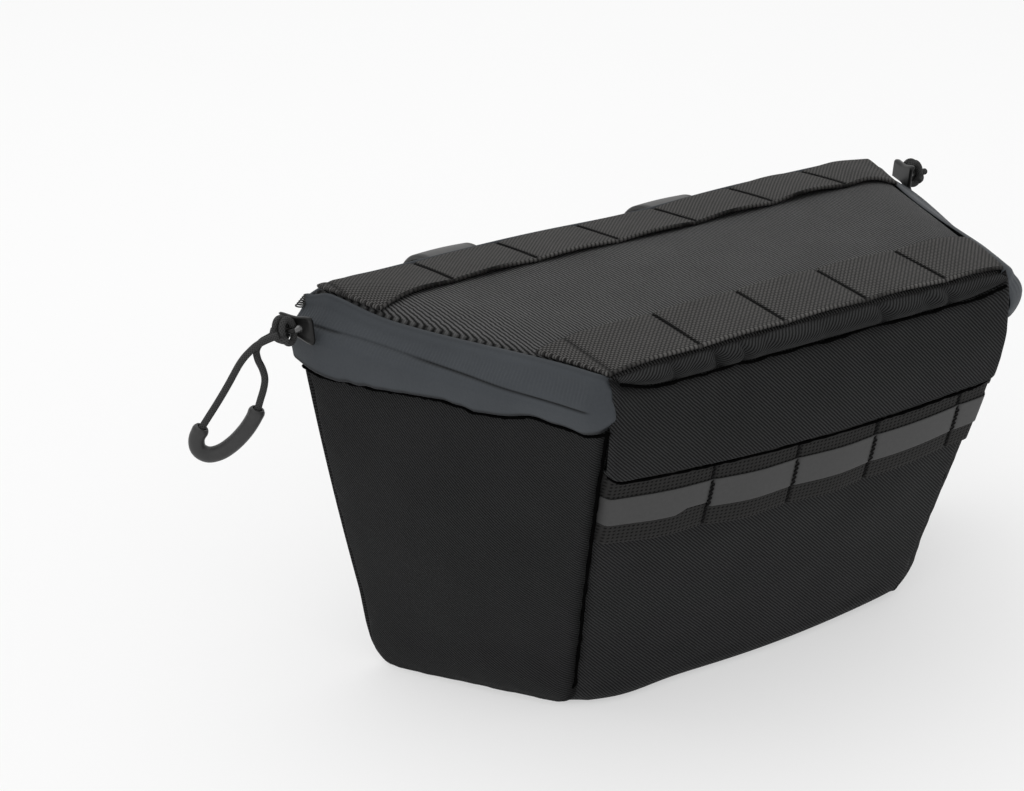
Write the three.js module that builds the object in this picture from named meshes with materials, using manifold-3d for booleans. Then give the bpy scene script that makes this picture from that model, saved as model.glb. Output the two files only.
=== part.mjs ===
// A small bicycle handlebar bag of padded cloth, in millimetres, +Z up.
// X runs along the bag, its front panel faces -Y, and the handlebar passes behind it at +Y.
// Inside the functions y is measured back from the front panel's top seam, and z up from the seams
// at the bag's foot. The finished bag is moved at the end, so that its origin is under its middle.

import * as THREE from "three";
import { mergeVertices } from "three/addons/utils/BufferGeometryUtils.js";
import Module from "manifold-3d";

const wasm = await Module();
wasm.setup();

// Body: a tub that is longer at the back than at the front and narrows to its floor
const bodyTop = 119.5;
const rimDrop = 8;
const topDepth = 113;
const frontLean = 39;
const backLean = 16;
const frontTopHalf = 72.5;
const frontBottomHalf = 61;
const backTopHalf = 116;
const backBottomHalf = 100;
const wall = 3;
const frontFootRadius = 7;
const backFootRadius = 9;
const seamGap = 0.5;
const frontFullness = 5.5;
const frontFullReach = 60;
const endFullness = 6;
const footSag = 2;
const footFlatShare = 0.88;
const cornerReach = 12;
const cornerEaseX = 1.5;
const cornerEaseY = 2;
const rightBow = 7;
const rightBowStart = 20;
const rightBowFootShare = 0.45;
const rightBowFootReach = 14;
const rimHeight = bodyTop - rimDrop;

// The front panel's top edge climbs to the lid near its two ends
const frontLift = 3;
const frontLiftStart = 50;
const frontLiftReach = 12;

// Lid: a padded panel that domes between its edges and turns down at its two ends
const lidFrontY = 4;
const lidBackInset = 1;
const lidRise = 6.8;
const lidPeakShare = 0.45;
const lidFrontDrop = 1.5;
const lidBackDrop = 4.5;
const lidCrown = 1;
const lidShoulderReach = 16;
const lidShoulderDrop = 0.7;
const lidSideSag = 3.2;
const lidFrontNarrowing = 0.5;
const lidBackNarrowing = 9.5;
const lidThickness = 3;
const lidPeakHeight = bodyTop + lidRise;
const lidBackY = topDepth - lidBackInset;
const lidFrontHalf = frontTopHalf - lidFrontNarrowing;
const lidBackHalf = backTopHalf - lidBackNarrowing;

// Padded roll that hinges the lid on the front panel, thick in the middle and thin at both tips
const rollTipInset = 4;
const rollProud = 1.5;
const rollCore = 0.45;
const rollHalf = lidFrontHalf - rollTipInset;

// Webbing
const webbingWidth = 25;
const webbingThickness = 1.3;
const webbingGap = 0.4;
const tackPitch = 29.7;
const frontTackX = -10.6;
const backTackX = -12.8;
const stripTackX = -3.4;
const lidArch = 0.8;
const backWebbingInset = 1.2;
const backWebbingLift = 1;
const stripTop = 31.8;
const stripTilt = 0.022;
const stripArch = 0.6;
const stripPouch = 2;
const bandWidth = 10;
const bandThickness = 0.4;

// Zip tape round the left end, the back and the right end
const tapeGap = 0.4;
const tapeThickness = 1.3;
const tapeTipY = 1;
const tapeFrontWidth = 11.5;
const tapeBackWidth = 20.5;
const tapeCornerRise = 3.5;
const tapeCornerReach = 18;
const tapeTopLap = 0.6;
const tapeSag = 1.6;
const tapeBulge = 2;
const tapeFrontFoot = bodyTop - tapeFrontWidth;
const tapeBackFoot = bodyTop - tapeBackWidth;

// Zip sliders at the two back corners, with a bail for the pull cord
const sliderLength = 13;
const sliderWidth = 8;
const sliderWaist = 5.5;
const sliderThickness = 2.2;
const sliderFromCornerLeft = 6;
const sliderFromCornerRight = 2.5;
const sliderDrop = 4.5;
const sliderGap = 1.2;
const sliderHeight = bodyTop - sliderDrop;
const bailWire = 1.6;
const bailSpan = 5;
const bailRise = 2.6;
const bailOffset = 1.5;

// Pull cords, each a loop from its slider's bail through a moulded grip and back
const cordDiameter = 2.2;
const cordSides = 8;
const cordSteps = 36;
// Each pull's turn towards the back, in degrees, and how much further out the right one starts
const leftPullTurn = 31.5;
const rightPullTurn = 75;
const rightPullReach = 1.2;
const gripDiameter = 5;
const gripBore = 3.2;
// The route's points, from the bail's middle: outwards from the corner, sideways and up
const cordRoute = [
  [0, 1.4, 0],
  [2.0, 1.4, -0.9],
  [4.4, 1.3, -2.0],
  [6.6, 1.2, -3.3],
  [8.5, 1.1, -5.0],
  [10.5, 0.9, -7.2],
  [12.2, 0.6, -9.6],
  [13.9, 0.3, -12.6],
  [16.0, 0.1, -16.4],
  [18.5, 0, -20.6],
  [20.9, 0, -24.4],
  [23.1, 0, -27.8],
  [25.1, 0, -31.0],
  [26.6, 0, -34.2],
  [26.2, 0, -37.6],
  [23.4, 0, -39.4],
  [19.6, 0, -38.6],
  [15.8, 0, -36.0],
  [12.3, 0, -32.4],
  [9.6, 0, -28.6],
  [7.8, 0, -25.0],
  [6.6, 0, -21.4],
  [5.5, -0.2, -18.0],
  [5.0, -0.5, -14.8],
  [5.6, -0.8, -11.8],
  [6.8, -1.1, -8.9],
  [7.1, -1.3, -6.0],
  [5.6, -1.4, -3.4],
  [3.0, -1.4, -1.8],
  [0.4, -1.4, -0.2],
];
// The steps of the cord between which the grip lies
const gripFirst = 14;
const gripLast = 26;

// Hook-and-loop straps behind the back panel, closed round a handlebar
const barDiameter = 31.8;
const barClearance = 0.3;
const strapThickness = 1.8;
const strapWidth = 20;
const strapLeftX = -46;
const strapRightX = 40;
const strapRingDrop = 19.8;
const strapStandoff = 4.5;
const strapPatchLength = 38;
const strapGap = 0.4;
const strapRingHeight = bodyTop - strapRingDrop;

// Cloth tab sewn into the right front seam
const tabDrop = 30;
const tabLength = 15;
const tabReach = 4;
const tabThickness = 1.2;
const tabHeight = bodyTop - tabDrop;

const look = (color, roughness, metalness = 0) =>
  new THREE.MeshStandardMaterial({ color, roughness, metalness });

const lerp = THREE.MathUtils.lerp;
const clamp = THREE.MathUtils.clamp;

// Turns a closed geometry into a named mesh with shared corners and its faces pointing out
function solid(name, material, geometry) {
  const bare = geometry.clone();
  bare.deleteAttribute("normal");
  bare.deleteAttribute("uv");
  const merged = mergeVertices(bare, 1e-4);
  const index = merged.index.array;
  const position = merged.attributes.position;
  const corners = [new THREE.Vector3(), new THREE.Vector3(), new THREE.Vector3()];
  let volume = 0;
  for (let i = 0; i < index.length; i += 3) {
    corners.forEach((corner, k) => corner.fromBufferAttribute(position, index[i + k]));
    volume += corners[0].dot(corners[1].cross(corners[2])) / 6;
  }
  if (volume < 0) merged.setIndex(Array.from(index).reverse());
  merged.computeVertexNormals();
  const mesh = new THREE.Mesh(merged, material);
  mesh.name = name;
  return mesh;
}

// The filled bag leans over a little: how far its right end bows outwards at x and height z
function settle(x, z) {
  const share = clamp((x - rightBowStart) / (frontTopHalf - rightBowStart), 0, 1);
  const height = clamp(z / bodyTop, 0, 1);
  const nearFoot = 1 - clamp(z / rightBowFootReach, 0, 1);
  const foot = 1 - (1 - rightBowFootShare) * nearFoot * nearFoot;
  return rightBow * share * share * (3 - 2 * share) * (1 - height ** 5) * foot;
}

// A sheet with a thickness: a box of columns by rows cells whose corners move to at(u, v, w).
// u and v run along the sheet and w through it, each from 0 to 1.
function sheet(name, material, columns, rows, at) {
  const box = new THREE.BoxGeometry(1, 1, 1, columns, rows, 1);
  const position = box.attributes.position;
  for (let i = 0; i < position.count; i++) {
    const u = Math.round((position.getX(i) + 0.5) * columns) / columns;
    const v = Math.round((position.getY(i) + 0.5) * rows) / rows;
    const w = Math.round(position.getZ(i) + 0.5);
    const [x, y, z] = at(u, v, w);
    position.setXYZ(i, x + settle(x, z), y, z);
  }
  return solid(name, material, box);
}

// Joins closed meshes into one
function joined(name, material, meshes) {
  const parts = meshes.map((mesh) => {
    mesh.updateMatrixWorld(true);
    const geometry = mesh.geometry.clone().applyMatrix4(mesh.matrixWorld);
    const merged = mergeVertices(geometry.deleteAttribute("normal"), 1e-4);
    return new wasm.Manifold(
      new wasm.Mesh({
        numProp: 3,
        vertProperties: new Float32Array(merged.attributes.position.array),
        triVerts: new Uint32Array(merged.index.array),
      }),
    );
  });
  const result = parts.reduce((whole, part) => whole.add(part)).getMesh();
  const geometry = new THREE.BufferGeometry();
  geometry.setAttribute("position", new THREE.BufferAttribute(result.vertProperties, 3));
  geometry.setIndex(new THREE.BufferAttribute(result.triVerts, 1));
  return solid(name, material, geometry);
}

// Outlines of the body

// Depth of the front or back wall's plane at height z, moved into the bag by inset
function wallY(side, z, inset = 0) {
  const lean = side === "front" ? frontLean : backLean;
  const slant = Math.hypot(lean, bodyTop) / bodyTop;
  const run = lean * (1 - z / bodyTop) + inset * slant;
  return side === "front" ? run : topDepth - run;
}

// The same with the round corner between that wall and the floor
function edgeY(side, z, inset) {
  const lean = side === "front" ? frontLean : backLean;
  const radius = side === "front" ? frontFootRadius : backFootRadius;
  const turn = Math.atan2(bodyTop, lean);
  const small = radius - inset;
  const cosine = clamp((radius - z) / small, -1, 1);
  if (cosine < Math.cos(turn)) return wallY(side, z, inset);
  const foot = lean + radius * Math.tan(turn / 2);
  const run = foot - small * Math.sin(Math.acos(cosine));
  return side === "front" ? run : topDepth - run;
}

// Half length of the body at depth y and height z, eased in at the back corner
function endX(y, z) {
  const t = 1 - z / bodyTop;
  const front = wallY("front", z);
  const back = wallY("back", z);
  const frontHalf = lerp(frontTopHalf, frontBottomHalf, t);
  const backHalf = lerp(backTopHalf, backBottomHalf, t);
  const ease = clamp((y - back + cornerReach) / cornerReach, 0, 1.2);
  return lerp(frontHalf, backHalf, (y - front) / (back - front)) - cornerEaseX * ease * ease;
}

// How far an end panel swells outwards at depth y and height z
function endSwell(y, z) {
  const front = wallY("front", z);
  const back = wallY("back", z);
  const u = clamp((y - front) / (back - front), 0, 1);
  const v = clamp(z / rimHeight, 0, 1);
  return endFullness * 4 * u * (1 - u) * Math.sin(Math.PI * v) ** 0.8;
}

const endSlant = Math.hypot(
  1,
  (backTopHalf - frontTopHalf) / topDepth,
  (backTopHalf - backBottomHalf) / bodyTop,
);

const backEase = (x, half) => {
  const ease = clamp((Math.abs(x) - half + cornerReach) / cornerReach, 0, 1);
  return cornerEaseY * ease * ease;
};

// Front panel: s is the distance down its slope from the top seam
const slopeLength = Math.hypot(frontLean, bodyTop);
const slopeY = frontLean / slopeLength;
const slopeZ = bodyTop / slopeLength;

function frontSwell(x, s) {
  const half = endX(s * slopeY, bodyTop - s * slopeZ);
  const across = clamp(1 - (x / half) ** 2, 0, 1);
  const full = frontFullness * across * Math.sin((Math.PI / 2) * clamp(s / frontFullReach, 0, 1));
  const pouch = Math.sin(Math.PI * clamp(s / (stripTop + stripTilt * x), 0, 1));
  return full + stripPouch * pouch * across ** 0.4;
}

// A point of the front panel, moved out of it by out
function frontPoint(x, s, out) {
  return [x, s * slopeY - out * slopeZ, bodyTop - s * slopeZ - out * slopeY];
}

const frontRise = (x) => {
  const share = clamp((Math.abs(x) - frontLiftStart) / (frontTopHalf - frontLiftStart), 0, 1.1);
  return frontLift * share * share;
};

// Stations of the wrap from the front seam over the floor to the rim of the back
function wrapStations() {
  const stations = [];
  const frontTurn = Math.atan2(bodyTop, frontLean);
  const backTurn = Math.atan2(bodyTop, backLean);
  const frontRun = frontFootRadius * Math.tan(frontTurn / 2);
  const backRun = backFootRadius * Math.tan(backTurn / 2);
  const frontEnd = slopeLength - frontRun;
  const stops = [0, stripTop / 2, stripTop, stripTop + webbingWidth / 2, stripTop + webbingWidth, frontEnd];
  const counts = [3, 3, 2, 2, 4];
  counts.forEach((count, k) => {
    for (let i = 0; i < count; i++) {
      stations.push({ face: "front", s: lerp(stops[k], stops[k + 1], i / count), n: [-slopeZ, -slopeY] });
    }
  });
  const arc = (front, y, radius, from, to, steps) => {
    for (let i = 0; i < steps; i++) {
      const angle = lerp(from, to, i / steps);
      const n = [Math.cos(angle), Math.sin(angle)];
      const share = front ? i / steps : 1 - i / steps;
      stations.push({ face: "foot", front, share, y: y + radius * n[0], z: radius + radius * n[1], n });
    }
  };
  const floorFront = frontLean + frontRun;
  const floorBack = topDepth - backLean - backRun;
  arc(true, floorFront, frontFootRadius, -Math.PI / 2 - frontTurn, -Math.PI / 2, 4);
  for (let i = 0; i < 4; i++) {
    stations.push({ face: "floor", share: i / 4, y: lerp(floorFront, floorBack, i / 4), z: 0, n: [0, -1] });
  }
  arc(false, floorBack, backFootRadius, -Math.PI / 2, -Math.PI / 2 + backTurn, 4);
  const backFoot = backFootRadius * (1 - Math.cos(backTurn));
  const n = [Math.sin(backTurn), -Math.cos(backTurn)];
  for (let i = 0; i <= 7; i++) {
    const z = lerp(backFoot, rimHeight, i / 7);
    stations.push({ face: "back", y: wallY("back", z), z, n });
  }
  return stations;
}

// How far the cloth of the foot moves forwards and down from the seams' outline
function footShift(station, side, swell) {
  const aside = clamp((Math.abs(side) - footFlatShare) / (1 - footFlatShare), 0, 1);
  const sag = footSag * (1 - aside * aside);
  if (station.face === "floor") return [swell * slopeZ * (1 - station.share), sag];
  if (!station.front) return [0, sag * station.share];
  return [swell * slopeZ, lerp(swell * slopeY, sag, station.share)];
}

// Front panel, floor and back panel in one padded strip
function wrapPanel() {
  const stations = wrapStations();
  const rows = stations.length - 1;
  return sheet("wrap_panel", look(0x1b1b1c, 0.9), 16, rows, (u, v, w) => {
    const station = stations[Math.round(v * rows)];
    const side = Math.sin((u - 0.5) * Math.PI);
    const inner = (1 - w) * wall;
    const edge = (y, z) => endX(y, z) - seamGap - inner * endSlant;
    if (station.face === "front") {
      const flat = frontPoint(0, station.s, -inner);
      const x = side * edge(flat[1], flat[2]);
      const top = clamp(1 - station.s / frontLiftReach, 0, 1);
      const climb = (frontRise(x) - (inner * slopeY) / slopeZ) * top;
      return frontPoint(x, station.s - climb, frontSwell(x, station.s) - inner);
    }
    const y = station.y - station.n[0] * inner;
    const z = station.z - station.n[1] * inner;
    const x = side * edge(y, z);
    if (station.face === "back") {
      return [x, y - backEase(x, edge(y, z)) * clamp(z / cornerReach - 1, 0, 1), z];
    }
    const [forward, down] = footShift(station, side, frontSwell(x, slopeLength));
    return [x, y - forward, z - down];
  });
}

// One end of the tub; hand is -1 on the left and 1 on the right
function endPanel(name, hand) {
  return sheet(name, look(0x1a1a1b, 0.9), 12, 14, (u, v, w) => {
    const inset = seamGap / 2 + (1 - w) * wall;
    const z = lerp(inset, rimHeight, v ** 1.5);
    const front = edgeY("front", z, inset);
    const backDrop = cornerEaseY * clamp(z / cornerReach - 1, 0, 1);
    const back = edgeY("back", z, inset) - backDrop;
    const y = lerp(front, back, Math.sin((u - 0.5) * Math.PI) / 2 + 0.5);
    return [hand * (endX(y, z) + endSwell(y, z) - (1 - w) * wall * endSlant), y, z];
  });
}

// Lid

const lidShare = (y) => (y - lidFrontY) / (lidBackY - lidFrontY);
const lidSideDip = (y) => Math.sin(Math.PI * clamp(lidShare(y), 0, 1) ** 1.4);
const lidHalf = (y) => lerp(lidFrontHalf, lidBackHalf, lidShare(y));

// Height of the lid's cloth at x and y
function lidTop(x, y) {
  const share = lidShare(y) - lidPeakShare;
  const drop = share < 0 ? lidFrontDrop : lidBackDrop;
  const reach = share < 0 ? lidPeakShare : 1 - lidPeakShare;
  const half = lidHalf(y);
  const inwards = clamp((half - Math.abs(x)) / lidShoulderReach, 0, 1);
  const shoulder = (lidShoulderDrop + lidSideSag * lidSideDip(y)) * (1 - inwards) ** 2;
  return lidPeakHeight - drop * (share / reach) ** 2 - lidCrown * (x / half) ** 2 - shoulder;
}

function lid() {
  return sheet("lid", look(0x232324, 0.9), 20, 11, (u, v, w) => {
    const y = lerp(lidFrontY, lidBackY, v);
    const x = Math.sin((u - 0.5) * Math.PI) * lidHalf(y);
    return [x, y, lidTop(x, y) - (1 - w) * lidThickness];
  });
}

// Roll between the lid's front edge and the front panel's top seam
function lidRoll() {
  return sheet("lid_front_roll", look(0x1d1d1e, 0.9), 24, 4, (u, v, w) => {
    const x = Math.sin((u - 0.5) * Math.PI) * rollHalf;
    const foot = bodyTop + frontRise(x) + seamGap;
    const thin = clamp(1 - (x / rollHalf) ** 6, 0, 1);
    const back = lidFrontY - seamGap;
    const forward = back + rollProud * thin + frontSwell(x, 1);
    const rise = lidTop(x, lidFrontY) - foot;
    const angle = (v * Math.PI) / 2;
    const size = w ? 1 : rollCore;
    return [x, back - forward * size * Math.sin(angle), foot + rise * size * Math.cos(angle)];
  });
}

// Rise of a webbing between its bar tacks, the tacks being one pitch apart round centre
const archAt = (x, centre) => (1 - Math.cos((2 * Math.PI * (x - centre)) / tackPitch)) / 2;

// Webbing across the lid from front edge y0; lift raises its front edge off the lid
function lidWebbing(name, y0, centre, lift) {
  return sheet(name, look(0x2a2a28, 0.85), 34, 3, (u, v, w) => {
    const y = y0 + v * webbingWidth;
    const half = lidHalf(y) - webbingGap;
    const x = (2 * u - 1) * half;
    const free = clamp((half - Math.abs(x)) / lidShoulderReach, 0, 1);
    const arch = (lidArch + lift * (1 - v)) * archAt(x, centre) * free;
    return [x, y, lidTop(x, y) + webbingGap + arch + w * webbingThickness];
  });
}

// A band across the front panel between two distances down its slope
function frontBand(name, material, from, to, base, thickness, arch) {
  return sheet(name, material, 32, 2, (u, v, w) => {
    const flat = frontPoint(0, lerp(from, to, v), 0);
    const half = endX(flat[1], flat[2]) - 2 * seamGap;
    const x = (2 * u - 1) * half;
    const s = lerp(from, to, v) + stripTilt * x;
    const free = clamp((half - Math.abs(x)) / lidShoulderReach, 0, 1);
    const out = frontSwell(x, s) + base + arch * archAt(x, stripTackX) * free;
    return frontPoint(x, s, out + w * thickness);
  });
}

// Zip tape

// Height of the tape's lower edge at depth y, which climbs again at the back corners
function tapeFoot(y) {
  const climb = clamp(1 - (lidBackY - y) / tapeCornerReach, 0, 1);
  return lerp(tapeFrontFoot, tapeBackFoot, clamp(y / topDepth, 0, 1)) + tapeCornerRise * climb ** 2;
}

// Height of a row of the tape, and how far it has come from the body (0) to the lid's edge (1).
// Above the body's rim the tape leans in to the lid.
function tapeRow(v, lidEdge, dip, foot) {
  const rim = rimHeight + tapeGap;
  const lidFoot = Math.max(lidEdge - lidThickness - tapeGap, rim + tapeGap);
  if (v < 0.2) return { z: lerp(lidEdge + tapeTopLap - tapeSag * dip, lidFoot, v / 0.2), share: 1 };
  if (v < 0.4) return { z: lerp(lidFoot, rim, (v - 0.2) / 0.2), share: 1 - (v - 0.2) / 0.2 };
  return { z: lerp(rim, foot, (v - 0.4) / 0.6), share: 0 };
}

function zipTape() {
  const endColumns = 12;
  const backColumns = 16;
  const total = 2 * endColumns + backColumns;
  return sheet("zip_tape", look(0x40454a, 0.6), total, 5, (u, v, w) => {
    const step = Math.round(u * total);
    const fromTip = Math.min(step, total - step);
    const hand = step <= total / 2 ? -1 : 1;
    const gap = tapeGap + w * tapeThickness;
    if (fromTip <= endColumns) {
      const along = Math.sin((fromTip / endColumns - 0.5) * Math.PI) / 2 + 0.5;
      const yLid = lerp(tapeTipY, lidBackY, along);
      const edge = lidTop(lidHalf(yLid), yLid);
      const { z, share } = tapeRow(v, edge, lidSideDip(yLid), tapeFoot(yLid));
      const yBody = lerp(tapeTipY, wallY("back", z) - cornerEaseY, along);
      const bulge = tapeBulge * Math.sin(Math.PI * v) * (1 - along ** 2);
      const xBody = endX(yBody, z) + endSwell(yBody, z) + gap * endSlant;
      const x = lerp(xBody, lidHalf(yLid) + gap, share) + bulge;
      const corner = fromTip === endColumns ? gap : 0;
      return [hand * x, lerp(yBody, yLid, share) + corner, z];
    }
    const side = Math.sin(((step - endColumns) / backColumns - 0.5) * Math.PI);
    const xLid = side * lidHalf(lidBackY);
    const climb = clamp(1 - (lidHalf(lidBackY) - Math.abs(xLid)) / tapeCornerReach, 0, 1);
    const foot = tapeBackFoot + tapeCornerRise * climb ** 2;
    const { z, share } = tapeRow(v, lidTop(xLid, lidBackY), 0, foot);
    const half = endX(wallY("back", z) - cornerEaseY, z);
    const body = wallY("back", z) - backEase(side * half, half) + gap;
    return [lerp(side * half, xLid, share), lerp(body, lidBackY + gap, share), z];
  });
}

// Zip slider: a waisted plate on the tape with a bail for the cord
function sliderFrame(hand) {
  const fromCorner = hand < 0 ? sliderFromCornerLeft : sliderFromCornerRight;
  const y = wallY("back", sliderHeight) - cornerEaseY - fromCorner;
  const skin = (depth, z) => endX(depth, z) + endSwell(depth, z) + endSlant * (tapeGap + tapeThickness);
  const x = skin(y, sliderHeight);
  const along = new THREE.Vector3(hand * (x - skin(y - 1, sliderHeight)), 1, 0).normalize();
  const up = new THREE.Vector3(hand * (x - skin(y, sliderHeight - 1)), 0, 1).normalize();
  const out = new THREE.Vector3().crossVectors(along, up).multiplyScalar(hand).normalize();
  up.crossVectors(out, along).multiplyScalar(hand);
  const origin = new THREE.Vector3(hand * x, y, sliderHeight).addScaledVector(out, sliderGap);
  origin.x += settle(origin.x, sliderHeight);
  return { along, up, out, origin };
}

function slider(name, hand) {
  const material = look(0x161617, 0.35, 0.6);
  const { along, up, out, origin } = sliderFrame(hand);
  const outline = new THREE.Shape();
  const l = sliderLength / 2;
  const h = sliderWidth / 2;
  const waist = sliderWaist / 2;
  outline.moveTo(-l, -h);
  outline.quadraticCurveTo(0, -waist, l, -waist);
  outline.lineTo(l, waist);
  outline.quadraticCurveTo(0, waist, -l, h);
  outline.closePath();
  const plate = new THREE.ExtrudeGeometry(outline, {
    depth: sliderThickness - 1,
    bevelThickness: 0.5,
    bevelSize: 0.4,
    bevelSegments: 1,
    curveSegments: 4,
  });
  plate.translate(0, 0, 0.5);
  const bailLine = new THREE.CatmullRomCurve3([
    new THREE.Vector3(-bailSpan / 2, 0, sliderThickness - 1.2),
    new THREE.Vector3(-bailSpan / 2, 0, sliderThickness + bailRise * 0.6),
    new THREE.Vector3(0, 0, sliderThickness + bailRise),
    new THREE.Vector3(bailSpan / 2, 0, sliderThickness + bailRise * 0.6),
    new THREE.Vector3(bailSpan / 2, 0, sliderThickness - 1.2),
  ]);
  const wire = new THREE.Shape().absarc(0, 0, bailWire / 2, 0, Math.PI * 2);
  const bail = new THREE.ExtrudeGeometry(wire, { extrudePath: bailLine, steps: 8, curveSegments: 6 });
  bail.translate(bailOffset, 0, 0);
  const place = new THREE.Matrix4().makeBasis(along, up, new THREE.Vector3().crossVectors(along, up));
  if (hand < 0) place.makeBasis(along.clone(), up.clone().negate(), out.clone());
  place.setPosition(origin);
  const pieces = [plate, bail].map((geometry) => solid("piece", material, geometry.applyMatrix4(place)));
  return joined(name, material, pieces);
}

// Pull cord: its route stands out from the bail in an upright plane
function cordCurve(hand) {
  const { along, out, origin } = sliderFrame(hand);
  const turn = THREE.MathUtils.degToRad(hand < 0 ? leftPullTurn : rightPullTurn);
  const crown = sliderThickness + bailRise + bailWire / 2 + (hand < 0 ? 0 : rightPullReach);
  const eye = origin
    .clone()
    .addScaledVector(along, bailOffset)
    .addScaledVector(out, crown + cordDiameter / 2 + tapeGap);
  const outwards = new THREE.Vector3(hand * Math.cos(turn), Math.sin(turn), 0);
  const sideways = new THREE.Vector3(hand * Math.sin(turn), -Math.cos(turn), 0);
  const points = cordRoute.map(([o, side, z]) =>
    eye.clone().addScaledVector(outwards, o).addScaledVector(sideways, side).add(new THREE.Vector3(0, 0, z)),
  );
  return new THREE.CatmullRomCurve3(points, false, "centripetal");
}

function ringShape(outer, inner, sides) {
  const circle = (radius) => {
    const points = [];
    for (let i = 0; i < sides; i++) {
      const angle = (2 * Math.PI * i) / sides;
      points.push(new THREE.Vector2(radius * Math.cos(angle), radius * Math.sin(angle)));
    }
    return points;
  };
  const shape = new THREE.Shape(circle(outer));
  if (inner) shape.holes.push(new THREE.Path(circle(inner).reverse()));
  return shape;
}

function pullCord(name, hand) {
  const shape = ringShape(cordDiameter / 2, 0, cordSides);
  const tube = new THREE.ExtrudeGeometry(shape, { extrudePath: cordCurve(hand), steps: cordSteps });
  return solid(name, look(0x1c1c1d, 0.9), tube);
}

function pullGrip(name, hand) {
  const whole = cordCurve(hand);
  const points = [];
  for (let i = gripFirst; i <= gripLast; i++) points.push(whole.getPointAt(i / cordSteps));
  const shape = ringShape(gripDiameter / 2, gripBore / 2, cordSides);
  const path = new THREE.CatmullRomCurve3(points, false, "centripetal");
  const tube = new THREE.ExtrudeGeometry(shape, { extrudePath: path, steps: points.length - 1 });
  return solid(name, look(0x2b2c2e, 0.55), tube);
}

// Handlebar strap: a ring closed round the bar, with a patch sewn down the back panel
function handlebarStrap(name, x) {
  const inner = barDiameter / 2 + barClearance;
  const outer = inner + strapThickness;
  const slant = Math.atan2(backLean, bodyTop);
  const n = new THREE.Vector2(Math.cos(slant), -Math.sin(slant));
  const down = new THREE.Vector2(-Math.sin(slant), -Math.cos(slant));
  const contact = new THREE.Vector2(wallY("back", strapRingHeight), strapRingHeight);
  const centre = contact.addScaledVector(n, outer + strapStandoff);
  const tilt = -Math.asin((strapStandoff - strapGap) / strapPatchLength);
  n.rotateAround(new THREE.Vector2(), tilt);
  down.rotateAround(new THREE.Vector2(), tilt);
  const touch = centre.clone().addScaledVector(n, -outer);
  const leave = Math.sqrt(outer ** 2 - (outer - strapThickness) ** 2);
  const start = Math.atan2(touch.y - centre.y, touch.x - centre.x);
  const end = start + Math.asin(leave / outer) - 2 * Math.PI;
  const foot = touch.clone().addScaledVector(down, strapPatchLength);
  const outline = new THREE.Shape();
  outline.moveTo(touch.x, touch.y);
  outline.absarc(centre.x, centre.y, outer, start, end, true);
  outline.lineTo(foot.x + n.x * strapThickness, foot.y + n.y * strapThickness);
  outline.lineTo(foot.x, foot.y);
  outline.closePath();
  const hole = new THREE.Path();
  hole.absarc(centre.x, centre.y, inner, 0, Math.PI * 2);
  outline.holes.push(hole);
  const geometry = new THREE.ExtrudeGeometry(outline, {
    depth: strapWidth,
    bevelEnabled: false,
    curveSegments: 28,
  });
  const mesh = solid(name, look(0x3a3d40, 0.7), geometry);
  const yAxis = new THREE.Vector3(0, 1, 0);
  const zAxis = new THREE.Vector3(0, 0, 1);
  const xAxis = new THREE.Vector3(1, 0, 0);
  mesh.setRotationFromMatrix(new THREE.Matrix4().makeBasis(yAxis, zAxis, xAxis));
  mesh.position.x = x - strapWidth / 2;
  return mesh;
}

// Cloth tab lying back along the right end from the front seam
function sideTab() {
  return sheet("side_tab", look(0x17181c, 0.9), 3, 3, (u, v, w) => {
    const z = tabHeight + (v - 0.5) * tabLength;
    const y = wallY("front", z) + seamGap + u * tabReach;
    return [endX(y, z) + endSwell(y, z) + webbingGap + w * tabThickness, y, z];
  });
}

const cordParts = new THREE.Group();
const body = new THREE.Group();

body.add(wrapPanel(), endPanel("left_end_panel", -1), endPanel("right_end_panel", 1));
body.add(lid(), lidRoll(), zipTape(), sideTab());
body.add(lidWebbing("lid_webbing_front", lidFrontY, frontTackX, 0));
body.add(
  lidWebbing(
    "lid_webbing_back",
    lidBackY - backWebbingInset - webbingWidth,
    backTackX,
    backWebbingLift,
  ),
);
const stripMiddle = stripTop + webbingWidth / 2;
body.add(
  frontBand(
    "front_webbing",
    look(0x262626, 0.85),
    stripTop,
    stripTop + webbingWidth,
    webbingGap,
    webbingThickness,
    stripArch,
  ),
  frontBand(
    "reflective_band",
    look(0x4a4b4b, 0.5),
    stripMiddle - bandWidth / 2,
    stripMiddle + bandWidth / 2,
    webbingGap + webbingThickness + webbingGap,
    bandThickness,
    stripArch,
  ),
);
for (const [side, hand, strapX] of [["left", -1, strapLeftX], ["right", 1, strapRightX]]) {
  body.add(slider("zip_slider_" + side, hand));
  body.add(handlebarStrap("handlebar_strap_" + side, strapX));
  cordParts.add(pullCord("pull_cord_" + side, hand), pullGrip("pull_grip_" + side, hand));
}

const bag = new THREE.Group();
bag.add(body, cordParts);
const box = new THREE.Box3().setFromObject(body, true);
bag.position.set(-(box.min.x + box.max.x) / 2, -(box.min.y + box.max.y) / 2, -box.min.z);

export default bag;
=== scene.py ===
import math

import bmesh
import bpy
import numpy as np
from mathutils import Matrix, Vector


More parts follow.
